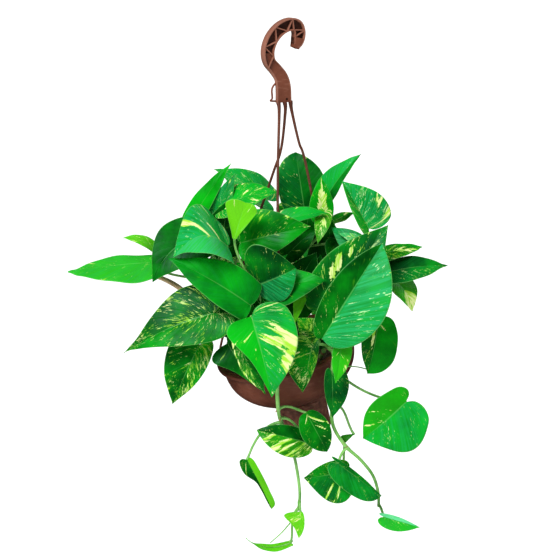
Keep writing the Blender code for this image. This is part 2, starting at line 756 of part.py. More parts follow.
def petiole_points(leaf, stem):
    """The leaf stalk: it leaves the stem upwards and meets the blade's notch from behind."""
    place = leaf.along * (len(stem) - 1)
    low = min(int(place), len(stem) - 2)
    root = stem[low].lerp(stem[low + 1], place - low)
    base, _, _, face = leaf_axes(leaf)
    arrive = (face * 0.8 + (base - root).normalized() * 0.7).normalized()
    slant = math.acos(arrive.dot(face))
    gap = (BLADE_THICKNESS / 2 + CLEARANCE) / math.cos(slant) + PETIOLE_RADIUS * math.tan(slant)
    end = base - arrive * gap * 0.001
    reach = (end - root).length * PETIOLE_REACH
    grow = ((end - root).normalized() + Vector((0, 0, 0.8))).normalized()
    first, second = root + grow * reach + mm(leaf.steer), end - arrive * reach + mm(leaf.steer) * 0.5
    made = []
    for step in range(PETIOLE_SPANS + 1):
        t = step / PETIOLE_SPANS
        u = 1 - t
        made.append(root * u**3 + first * 3 * t * u * u + second * 3 * t * t * u + end * t**3)
    return made


def build_vine(vine, finish):
    stem_line = smooth_curve([mm(point) for point in vine.points], 2)
    stem = tube(vine.name, stem_line, STEM_RADIUS, ROD_SIDES, STEM_TIP_RADIUS, finish)
    petioles = bpy.data.collections.new(f"petioles_of_{vine.name}")
    bpy.context.scene.collection.children.link(petioles)
    petioles.hide_render = True
    for leaf in LEAVES:
        if leaf.vine == vine.name:
            path = petiole_points(leaf, stem_line)
            stalk = tube(f"petiole_{leaf.name}", path, PETIOLE_RADIUS, PETIOLE_SIDES)
            bpy.context.scene.collection.objects.unlink(stalk)
            petioles.objects.link(stalk)
            hide(stalk)
    joined = stem.modifiers.new("petioles", "BOOLEAN")
    joined.operation = "UNION"
    joined.operand_type = "COLLECTION"
    joined.collection = petioles


def main():
    clear_scene()
    plastic = material("terracotta_plastic", (0.17, 0.055, 0.035), 0.45)
    hanger = material("hanger_plastic", (0.25, 0.075, 0.045), 0.4)
    earth = material("potting_mix", (0.03, 0.018, 0.012), 0.95)
    green = material("leaf_green", (0.03, 0.30, 0.04), 0.35)
    stalk = material("stalk_green", (0.16, 0.42, 0.10), 0.45)
    frame = pot_frame()
    build_bowl(frame, plastic)
    build_drip_cup(frame, plastic)
    build_soil(frame, earth)
    build_strands(build_hook(hanger), frame)
    for vine in VINES:
        build_vine(vine, stalk)
    for leaf in LEAVES:
        build_blade(leaf, green)


main()
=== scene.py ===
"""A variegated pothos in a moulded hanging bowl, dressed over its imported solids.

Tables are in millimetres and mm() scales them once. The plant is looked at along +Y, and every
piece hangs from the saddle of the hook, which is the origin.
"""

import math
import random
from typing import NamedTuple

import bpy
from mathutils import Matrix, Vector, noise


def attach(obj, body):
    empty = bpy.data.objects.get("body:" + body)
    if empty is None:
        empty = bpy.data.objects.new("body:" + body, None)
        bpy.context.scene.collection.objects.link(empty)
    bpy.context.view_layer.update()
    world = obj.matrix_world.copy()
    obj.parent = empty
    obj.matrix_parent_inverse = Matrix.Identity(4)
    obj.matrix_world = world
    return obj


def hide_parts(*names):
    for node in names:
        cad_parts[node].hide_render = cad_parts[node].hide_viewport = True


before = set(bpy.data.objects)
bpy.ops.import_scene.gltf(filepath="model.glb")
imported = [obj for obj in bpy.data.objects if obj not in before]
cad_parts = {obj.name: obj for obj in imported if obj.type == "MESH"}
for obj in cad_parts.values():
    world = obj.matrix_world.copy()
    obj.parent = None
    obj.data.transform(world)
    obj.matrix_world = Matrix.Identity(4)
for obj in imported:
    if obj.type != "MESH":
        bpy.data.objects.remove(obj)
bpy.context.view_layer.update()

# ---------------------------------------------------------------- pot and hanger (mm)
RIM_RADIUS = 91.5
RIM_CENTRE = (-4.0, 0.0, -390.0)
POT_TILT_SIDEWAYS = math.radians(-14.0)
POT_TILT_FORWARD = math.radians(3.0)
WALL = 2.2
BOWL_DEPTH = 72.0
SPIGOT_RADIUS = 27.0
SPIGOT_LENGTH = 8.8
DRIP_CUP_RADIUS = 33.5
DRIP_CUP_HEIGHT = 50.0
SOIL_RADIUS = 81.5
SOIL_BELOW_RIM = 11.0
SOIL_CROWN = 4.2
BARK_CHIPS = 150
STRAND_RADIUS = 1.6
STRAND_CIRCLE = 87.7
STRAND_FLARE = 1.1
BUTTON_RADIUS = 2.8
BUTTON_FLATNESS = 0.62
HOOK_YAW = math.radians(22.0)
HOOK_DEPTH = 12.0
SHANK_DEPTH = 4.4
RAIL = 1.7
WEB = 2.0
TRUSSED_SHARE = 0.74
RIB_STEP = 7
RIB_THICKNESS = 1.4
HOOK_HOLE = (-4.6, 0, -78.4)
HOOK_HOLE_RADIUS = 1.6
TAG_LOOP_RADIUS = 1.15

# ---------------------------------------------------------------- plant (mm)
BLADE_THICKNESS = 0.5
STEM_RADIUS = 2.6
STEM_TIP_RADIUS = 1.8
PETIOLE_RADIUS = 1.8
PETIOLE_REACH = 0.36
BLADE_GAP = 1.0
EDGE_CURL = -0.06
VEINS = 8
VEIN_SWEEP = 1.2
VEIN_BEND = 1.6
BLADE_COLUMNS = 32
BLADE_ROWS = 44
PETIOLE_STEPS = 18
STEM_SIDES = 14

# ---------------------------------------------------------------- studio (m)
FLOOR_BELOW_HOOK = 1.9
CAMERA_PLACE = (-0.01165, -1.24320, 0.07681)
CAMERA_PITCH = math.radians(73.0)
CAMERA_LENS = 66.857
SURROUND = (0.97, 0.99, 1.0, 1.0)
SURROUND_STRENGTH = 0.45
# Each light: its name, where it shines from, its strength, its spread in degrees and its colour.
LIGHTS = (
    ("key", (-0.55, -0.85, 1.0), 3.6, 24, (1.0, 0.99, 0.97)),
    ("rim", (0.8, 0.7, 0.7), 0.9, 40, (0.95, 0.98, 1.0)),
)

# Outer side of the bowl, (radius, height under the rim plane), from the flange to the foot.
BOWL_OUTER = ((84.5, -7), (84.5, -20), (80, -36), (69.5, -50), (55, -61), (40, -68.5), (30, -72))

# The rolled flange, from under its outer edge to the inner wall.
FLANGE = (
    (84.5, -3.4), (85.2, -2.8), (88.6, -3.0), (89.4, -4.0), (90.6, -4.4), (91.3, -3.8),
    (RIM_RADIUS, -2.8), (RIM_RADIUS, -1.2), (91.0, -0.3), (90.0, 0), (87.2, -0.1), (86.6, -0.6),
    (84.6, -0.6), (83.6, -0.1), (82.8, -0.3), (82.3, -1.2),
)

# Half of a leaf's outline, notch to tip: (share of the length, share of the half width).
HEART = (
    (0.0, 0.0), (-0.13, 0.17), (-0.17, 0.46), (-0.10, 0.78), (0.07, 0.97), (0.27, 1.0),
    (0.47, 0.88), (0.66, 0.64), (0.82, 0.35), (0.93, 0.13), (1.0, 0.0),
)
WEDGE = (
    (0.0, 0.0), (0.02, 0.12), (0.12, 0.22), (0.30, 0.42), (0.50, 0.66), (0.70, 0.88),
    (0.86, 1.0), (0.97, 0.80), (1.02, 0.50), (1.02, 0.22), (1.0, 0.0),
)
# A blade that narrows to its base with hardly any lobes.
OVAL = (
    (0.0, 0.0), (-0.02, 0.20), (0.0, 0.42), (0.06, 0.64), (0.16, 0.84), (0.30, 0.97),
    (0.46, 1.0), (0.64, 0.88), (0.80, 0.62), (0.92, 0.30), (1.0, 0.0),
)
# A half that is widest by the notch and runs almost straight to the tip.
FLAP = (
    (0.0, 0.0), (-0.01, 0.30), (0.0, 0.62), (0.04, 0.88), (0.11, 1.0), (0.20, 0.92),
    (0.32, 0.70), (0.48, 0.44), (0.68, 0.24), (0.88, 0.09), (1.0, 0.0),
)
# A half that stays wide nearly to the tip.
FULL = (
    (0.0, 0.0), (-0.12, 0.20), (-0.13, 0.48), (-0.05, 0.76), (0.12, 0.94), (0.32, 1.0),
    (0.54, 0.98), (0.74, 0.86), (0.89, 0.60), (0.97, 0.28), (1.0, 0.0),
)
# A leaf still rolled up: one half an even strip, the other with one spread lobe at its base.
STRIP = (
    (0.0, 0.0), (-0.02, 0.35), (0.0, 0.65), (0.06, 0.85), (0.18, 0.95), (0.34, 1.0),
    (0.52, 1.0), (0.70, 0.95), (0.86, 0.95), (0.96, 0.70), (1.0, 0.0),
)
ROLLED = (
    (0.0, 0.0), (-0.06, 0.45), (-0.04, 0.85), (0.08, 1.0), (0.20, 0.90), (0.31, 0.56),
    (0.42, 0.24), (0.60, 0.14), (0.80, 0.12), (0.94, 0.08), (1.0, 0.0),
)

# Middle line of the hook, from its nose to the foot of its shank: (x, z, width).
HOOK_LINE = (
    (5.6, -19.4, 7.0), (9.4, -11.0, 12.6), (10.6, -1.4, 14.0), (7.0, 6.4, 14.0), (-2.0, 7.6, 14.4),
    (-13.6, 2.4, 14.2), (-23.4, -8.4, 13.8), (-28.0, -21.6, 13.4), (-26.4, -34.0, 13.2),
    (-18.6, -43.2, 14.6), (-11.6, -52.6, 16.4), (-8.6, -64.0, 18.2), (-8.0, -82.0, 19.0),
)
TAG_LOOP = ((-15.5, -57.0), (-22.6, -65.0), (-22.4, -77.0), (-25.0, -79.6), (-14.6, -80.6))

# The strands: points below each lug, and where each meets the rim, in degrees round it.
STRANDS = (
    (((-14.8, 0, -81), (-15.2, -4, -94), (-14, -18, -149), (-14.4, -32, -194), (-14.8, -62, -300)), 258),
    (((-6.6, 0, -81), (-5.4, 1, -94), (-10.2, 7, -139), (-20.4, 12, -171), (-47, 24, -254)), 160),
    (((0.8, 0, -81), (3.2, 1, -94), (11.2, 4, -131), (19.4, 8, -157), (46, 24, -282)), 20),
)

# Bare stalks: how dry each one is, and its points, each with its radius.
DRIED_STALKS = (
    (1.7, ((-207, -28, -296, 0.5), (-186, -30, -288, 1.4), (-167, -32, -288, 2.4),
        (-150, -36, -292, 3.2), (-132, -40, -302, 3.4), (-123, -44, -313, 2.6))),
    (0.4, ((67, -62, -394, 0.9), (84, -60, -396, 0.8), (102, -58, -402, 0.8))),
    (0.0, ((1, -82, -598, 1.0), (-10, -82, -612, 0.8), (-24, -84, -625, 0.7))),
)

# Each plastic: its dark, light and rubbed colours, and how finely it is mottled. The rubbed
# colour also serves as the painted highlight on the hook's rails and ribs.
PLASTICS = {
    "bowl": ((0.095, 0.022, 0.010), (0.14, 0.038, 0.018), (0.22, 0.085, 0.055), 28.0),
    "cup": ((0.08, 0.023, 0.013), (0.16, 0.050, 0.027), (0.25, 0.11, 0.075), 150.0),
    "hook": ((0.12, 0.032, 0.015), (0.18, 0.052, 0.026), (0.36, 0.16, 0.11), 28.0),
    "strand": ((0.09, 0.026, 0.014), (0.14, 0.045, 0.026), (0.22, 0.10, 0.07), 28.0),
}


class Vine(NamedTuple):
    """A stem, with the millimetre points that it grows through."""

    name: str
    points: tuple


class Leaf(NamedTuple):
    """A leaf: how far along its vine its stalk leaves, and the base and tip of its midrib.

    Its halves are the widths on each side of the midrib, the second on the side of along x face.
    arch lifts the middle of the blade, fold lifts its sides, and bow bends the midrib sideways, all
    as shares of the length or in degrees. point draws the tip out, and steer moves the stalk aside.

    The rest is its colour. The tone runs from deep to bright green. It is partly the leaf's own
    green and partly painted shade, darkest on the leaves and halves that sit in shadow. lime turns
    it to young growth, and the sheen value paints a teal sheen into the colour, pale from 1 to 2.
    cream and fleck say how much is cream, in broad sectors and in fine flecks. Each patch is (side,
    row, half width across, half width along, strength). What differs between the halves is a
    pair, and one number stands for both.
    """

    name: str
    vine: str
    along: float
    base: tuple
    tip: tuple
    halves: float | tuple
    face: tuple
    tone: float | tuple
    cream: float | tuple
    fleck: float | tuple
    arch: float = 0.08
    fold: float | tuple = 8.0
    bow: float = 0.0
    lobe: float | tuple = 1.0
    point: float = 0.0
    steer: tuple = (0, 0, 0)
    outlines: tuple = (HEART, HEART)
    lime: float | tuple = 0.0
    painted_sheen: float | tuple = 0.0
    patches: tuple = ()


class Station(NamedTuple):
    """A place along the hook, in the hook's own plane."""

    middle: Vector
    across: Vector
    width: float
    depth: float


VINES = (
    Vine("vine_left", ((-46, -12, -399), (-56, -20, -374), (-66, -24, -345), (-78, -26, -316),
        (-88, -22, -286))),
    Vine("vine_front", ((-36, -44, -402), (-38, -54, -378), (-36, -60, -350), (-34, -60, -322),
        (-36, -54, -298))),
    Vine("vine_right", ((42, -22, -381), (54, -32, -360), (64, -38, -336), (74, -38, -308),
        (82, -32, -278))),
    Vine("vine_centre", ((2, 4, -391), (6, 2, -360), (10, 0, -322), (12, -2, -286), (10, -2, -250))),
    Vine("vine_back", ((0, 44, -390), (0, 56, -366), (-2, 64, -335), (0, 66, -300), (2, 62, -268))),
    Vine("trailing_vine_left", ((-10, -58, -400), (-11, -78, -386), (-13, -98, -386), (-15, -105, -404),
        (-14, -100, -432), (-12, -80, -454), (-5, -66, -480), (6, -67, -512), (13, -70, -557),
        (12, -70, -584))),
    Vine("trailing_vine_right", ((38, -50, -387), (44, -64, -370), (51, -80, -368), (54, -86, -384),
        (52, -80, -430), (53, -76, -465), (68, -80, -491), (88, -78, -512), (104, -72, -536),
        (112, -66, -562), (114, -62, -584))),
)

LEAVES = (
    Leaf("front_cream", "vine_front", 0.62, (-44, -124, -309), (-21, -136, -403), (46, 33), (1, -9, 4),
        (0.72, 0.85), (0.14, 0.03), (0.34, 0.1), arch=0.1, lobe=(0.7, 0.1), steer=(0, -8, -34),
        outlines=(HEART, FLAP), painted_sheen=(0.6, 0.05),
        patches=((-0.92, 0.43, 0.2, 0.06, 0.5), (-0.8, 0.56, 0.4, 0.09, 0.5),
            (-0.3, 0.42, 0.3, 0.025, 0.35), (-0.35, 0.52, 0.3, 0.02, 0.35), (0.25, 0.62, 0.07, 0.06, 0.5))),
    Leaf("front_plain", "vine_front", 0.97, (-46, -98, -304), (-140, -92, -249), (24, 31), (0, -7, 6),
        (0.42, 0.4), -0.2, -0.2, lobe=(0.15, 0.2), painted_sheen=0.12, patches=((0, 1, 0.3, 0.02, 0.4),)),
    Leaf("left_speckled", "vine_left", 0.62, (-89, -88, -317), (-196, -92, -365), (35, 43), (-1, -8, 6),
        (0.3, 0.1), -0.1, (0.42, 0.47), arch=0.04, bow=0.03, point=0.6,
        patches=((0.85, 0.6, 0.2, 0.1, 0.3),)),
    Leaf("left_low", "vine_left", 0.3, (-109, -70, -365), (-142, -80, -436), (21, 33), (-2, -9, 2),
        (0.42, 0.25), (0.1, 0.02), (0.5, 0.4), arch=0.06, patches=((-0.3, 0.75, 0.3, 0.12, 0.3),)),
    Leaf("left_arched", "vine_left", 1, (-73, -76, -239), (-134, -96, -247), (30, 56), (-1, -6, 8),
        (0.95, 0.78), -0.05, (0.02, 0.32), arch=0.42, fold=0, lobe=(0.1, 0.8), painted_sheen=(1.25, 1),
        patches=((0.85, 0.72, 0.3, 0.05, 1.5), (0.2, 0.62, 0.35, 0.025, 1.3),
            (0.15, 0.42, 0.35, 0.02, 1.3))),
    Leaf("left_dark", "vine_left", 0.92, (-101, -36, -234), (-163, -62, -287), (34, 32), (-2, -8, 4), 0.1,
        -0.2, 0, bow=0.12, lobe=(0.4, 0.05)),
    Leaf("far_left", "vine_left", 0.78, (-170, -22, -274), (-270, -30, -284), (40, 16), (0, -4, 9),
        (0.95, 0.9), 0.02, 0.3, arch=0.02, lime=0.15, painted_sheen=(0.35, 0.3)),
    Leaf("upper_left", "vine_left", 1, (-121, 0, -229), (-71, 6, -157), (14, 17), (-3, -8, 4), (0.85, 0.8),
        -0.2, -0.1, arch=0.06, fold=(10, 20)),
    Leaf("top_left_back", "vine_centre", 1, (-28, 44, -211), (-94, 36, -170), (20, 26), (0, -6, 8),
        (0.7, 0.6), 0.08, (0.4, 0.35), arch=0.06, painted_sheen=(0.7, 0.6), patches=((0, 0.1, 0.8, 0.1, 0.5),)),
    Leaf("top_left_middle", "vine_left", 0.99, (-80, -14, -206), (-15, -18, -188), 25, (0, -5, 8),
        (0.85, 0.7), (0.2, 0.12), (0.42, 0.35), arch=0.1, painted_sheen=(0.25, 0.3)),
    Leaf("young_lime", "vine_front", 1, (-64, -90, -227), (-51, -82, -186), (22, 16), (1, -9, 2), 1, 0, 0,
        arch=-0.1, steer=(-10, -30, 0), outlines=(WEDGE, WEDGE), lime=0.9),
    Leaf("upper_centre", "vine_centre", 0.9, (-58, -54, -241), (24, -65, -218), (35, 24), (0, -8, 3),
        (0.4, 0.45), -0.05, (0.38, 0.22), lobe=0.3,
        patches=((-0.95, 0.75, 0.12, 0.04, 0.4), (-0.6, 1, 0.5, 0.05, 0.5))),
    Leaf("centre_dark", "vine_front", 0.8, (-40, -76, -287), (7, -88, -262), (48, 28), (1, -9, 1),
        (0.05, 0.25), -0.05, (0.3, 0.22), arch=0.1, lobe=(0, 0.3), outlines=(OVAL, OVAL), painted_sheen=(0.05, 0.9),
        patches=((-0.9, 0.5, 0.3, 0.12, 0.12),)),
    Leaf("centre_point", "vine_front", 0.9, (-21, -70, -293), (42, -82, -278), (20, 26), (1, -7, 6),
        (0.5, 0.42), -0.05, 0.2, painted_sheen=0.1, patches=((0, 0.95, 0.7, 0.06, 0.3),)),
    Leaf("front_narrow", "vine_front", 0.5, (-58, -106, -349), (-29, -110, -410), (20, 13), (-6, -7, 2),
        (0.15, 0.2), (0, 0.1), (0.3, 0.5), arch=0.06, steer=(0, 0, 14),
        patches=((0.9, 0.5, 0.2, 0.5, 0.6),)),
    Leaf("front_shade", "vine_front", 0.25, (-74, -82, -357), (-37, -96, -409), 27, (-3, -8, 4), 0.1, 0,
        0.1, outlines=(HEART, FLAP)),
    Leaf("front_right_low", "trailing_vine_right", 0.14, (26, -100, -353), (15, -110, -408), (9, 30),
        (0, -9, 2), (0.25, 0.3), (-0.02, 0), 0.5, arch=0.06),
    Leaf("front_speckled", "trailing_vine_right", 0.06, (34, -82, -350), (8, -88, -323), 18, (0, -9, 4),
        0.35, 0.04, 0.56, arch=0.06, lobe=0.3),
    Leaf("right_large", "vine_right", 0.55, (37, -114, -339), (105, -94, -231), (26, 49), (1, -8, 5),
        (0.2, 0.42), -0.1, (0.29, 0.33), arch=0.04, fold=14, outlines=(OVAL, OVAL), painted_sheen=(0, 1.1),
        patches=((0.97, 0.85, 0.08, 0.3, 0.15),)),
    Leaf("right_upper", "vine_right", 0.7, (47, -78, -309), (115, -62, -217), (38, 35), (0, -8, 5),
        (0.2, 0.25), -0.02, (0.36, 0.38), painted_sheen=(0.1, 0.3),
        patches=((-0.55, 0.58, 0.22, 0.05, 1.3), (-0.62, 0.68, 0.22, 0.035, 1.2),
            (-0.5, 0.5, 0.15, 0.03, 1))),
    Leaf("right_standing", "vine_right", 1, (94, -34, -228), (62, -22, -173), 35, (1, -9, 3), (0.62, 0.6),
        (0.02, 0.08), (0.35, 0.45), arch=0.05, fold=(65, 5), lobe=0.6, painted_sheen=(0.1, 0.9),
        patches=((0.85, 0.55, 0.2, 0.12, 0.4),)),
    Leaf("top_right", "vine_centre", 0.97, (43, 15, -207), (87, 14, -147), (22, 11), (0, -5, 8),
        (0.75, 0.3), 0, (0.3, 0.1), lobe=0.6, painted_sheen=(0.7, 0.1)),
    Leaf("top_centre", "vine_centre", 0.94, (19, 32, -220), (8, 50, -151), (29, 31), (0, -9, 1),
        (0.15, 0.2), (0, -0.05), (0.34, 0.2), arch=0.06, outlines=(FULL, OVAL), painted_sheen=(0.2, 0.05),
        patches=((0, 1, 0.6, 0.05, 0.25),)),
    Leaf("cream_upright", "vine_centre", 0.8, (39, -8, -220), (38, -2, -172), 15, (0, -9, 3), 0.7, -0.1,
        0.3, arch=0.05, patches=((0.1, 0.5, 0.4, 0.9, 1.3),)),
    Leaf("cream_drooping", "vine_centre", 0.86, (42, -28, -211), (33, -50, -243), 10, (0, -8, 5), 0.55, 0.2,
        0.45, steer=(16, 0, -6), lime=0.2, patches=((0, 0.5, 0.3, 0.3, 0.35),)),
    Leaf("right_small", "vine_right", 0.9, (115, -24, -262), (162, -20, -255), (12, 17), (1, -4, 9),
        (0.6, 0.5), (0.05, 0.1), (0.42, 0.45), arch=0.04, patches=((0.55, 0.78, 0.6, 0.12, 0.6),)),
    Leaf("right_dark", "vine_right", 0.8, (116, -40, -282), (192, -30, -276), (18, 22), (1, -5, 8),
        (0, 0.15), (-0.1, 0), (0.05, 0.36), arch=0.06, painted_sheen=(0.1, 0.2),
        patches=((0.9, 0.6, 0.12, 0.3, 0.25),)),
    Leaf("right_curled", "vine_right", 0.66, (129, -36, -294), (149, -46, -329), (22, 18), (5, -6, 6), 0.4,
        0, 0.38, arch=0.14, lime=0.15, patches=((0, 0.84, 1.5, 0.24, 2.2),)),
    Leaf("right_low", "vine_right", 0.4, (107, -52, -341), (95, -62, -404), (27, 18), (2, -9, 3),
        (0.55, 0.2), (-0.1, 0), (0.05, 0.42), point=-0.2, outlines=(FULL, HEART),
        patches=((0.18, 0.5, 0.12, 0.22, 1.6), (-0.3, 0.3, 0.2, 0.03, 1.2))),
    Leaf("right_lime", "trailing_vine_right", 0.16, (60, -106, -349), (53, -116, -394), (14, 11),
        (3, -9, 1), (0.85, 0.8), 0, 0, arch=0.05, lime=(0.15, 0.1)),
    Leaf("right_shade", "trailing_vine_right", 0.24, (50, -96, -392), (51, -102, -444), (20, 10),
        (1, -9, 2), 0.06, -0.05, (0.3, 0.2), arch=0.06, painted_sheen=0.1),
    Leaf("right_heart", "trailing_vine_right", 0.31, (142, -72, -437), (91, -72, -486), (44, 25),
        (0, -9, 2), (0.62, 0.65), (-0.05, -0.03), (0.27, 0.25), point=-0.8, steer=(-10, 0, -42),
        lime=(0, 0.05), painted_sheen=(0.5, 0),
        patches=((0.6, 0.62, 0.35, 0.03, 0.8), (0.7, 0.8, 0.35, 0.025, 0.8),
            (-0.95, 0.6, 0.12, 0.05, 0.6))),
    Leaf("trailing_oval", "trailing_vine_left", 0.46, (20, -84, -446), (46, -88, -496), (18, 19),
        (1, -9, 3), (0.22, 0.3), -0.05, (0.25, 0.2), lobe=(0.8, 0.5), outlines=(OVAL, OVAL),
        patches=((-0.45, 0.45, 0.45, 0.04, 1.3), (-0.5, 0.62, 0.35, 0.025, 1.2),
            (0.3, 0.35, 0.35, 0.03, 1.2), (-0.97, 0.5, 0.05, 0.4, 0.8))),
    Leaf("trailing_cream", "trailing_vine_left", 0.56, (29, -80, -490), (-40, -86, -468), (23, 15),
        (-1, -8, 5), (0.5, 0.12), (0.3, 0), (0.45, 0.2), lobe=0.4, outlines=(OVAL, OVAL), lime=(0.1, 0),
        patches=((-0.4, 0.6, 0.5, 0.2, 0.22), (0.9, 0.3, 0.25, 0.12, 0.6))),
    Leaf("trailing_rolled", "trailing_vine_left", 0.6, (-52, -78, -512), (-22, -78, -580), (8, 12),
        (3, -9, 0), (0.5, 0.1), 0, (0.15, 0.3), arch=0.05, outlines=(STRIP, ROLLED), lime=(0.7, 0)),
    Leaf("trailing_lime", "trailing_vine_left", 0.96, (14, -82, -582), (12, -86, -617), (6, 21), (1, -9, 1),
        0.95, (0.15, 0.2), 0.4, arch=0.05, outlines=(OVAL, FLAP), lime=(0.75, 0.8)),
    Leaf("trailing_crescent", "trailing_vine_left", 1, (2, -68, -635), (-55, -80, -620), (7, 6), (0, 2, -9),
        0.8, 0.1, 0.35, arch=0.2, lobe=0.3, lime=0.65),
    Leaf("trailing_wing_left", "trailing_vine_right", 0.6, (68, -70, -532), (18, -70, -541), (38, 17),
        (0, -9, 2), (0.3, 0.35), 0.1, (0.3, 0.35), painted_sheen=(0.15, 0),
        patches=((0.4, 0.4, 0.3, 0.06, 0.5), (-0.6, 0.6, 0.3, 0.05, 0.4))),
    Leaf("trailing_wing_right", "trailing_vine_right", 0.62, (60, -86, -513), (114, -90, -555), (5, 22),
        (1, -9, 4), 0.25, (0, 0.03), (0.25, 0.3), arch=0.04, outlines=(HEART, FULL), painted_sheen=(0.1, 0.25)),
    Leaf("trailing_end", "trailing_vine_right", 1, (121, -74, -594), (166, -70, -611), (5, 14), (1, -8, 5),
        1, 0, 0.3, arch=0.04, lime=(0.3, 0.1), painted_sheen=(1.9, 0.3)),
    Leaf("back_top", "vine_back", 1, (8, 74, -232), (22, 116, -226), 28, (0, 5, 8), (0.6, 0.7),
        (0.12, 0.05), (0.45, 0.35), arch=0.14),
    Leaf("back_left_high", "vine_back", 0.95, (-52, 66, -246), (-104, 104, -242), 31, (-3, 5, 8), 0.5,
        (0.05, 0.2), (0.48, 0.45), arch=0.14, painted_sheen=(0.3, 0.1)),
    Leaf("back_right_high", "vine_back", 0.9, (58, 66, -246), (108, 100, -246), 30, (3, 5, 8), (0.7, 0.6),
        (0.2, 0.05), (0.4, 0.48), arch=0.14),
    Leaf("back_middle", "vine_back", 0.75, (4, 92, -276), (-6, 134, -346), 40, (0, 9, 4), (0.6, 0.7),
        (0.05, 0.25), (0.3, 0.4), arch=0.12, painted_sheen=(0.1, 0.3)),
    Leaf("back_left", "vine_back", 0.6, (-66, 80, -300), (-108, 112, -360), 36, (-4, 8, 4), (0.45, 0.5),
        (0.12, 0.05), (0.52, 0.42), arch=0.12),
    Leaf("back_right", "vine_back", 0.5, (64, 84, -298), (104, 112, -362), 36, (4, 8, 4), (0.6, 0.55),
        (0.08, 0.12), (0.4, 0.48), arch=0.12, painted_sheen=0.2),
)
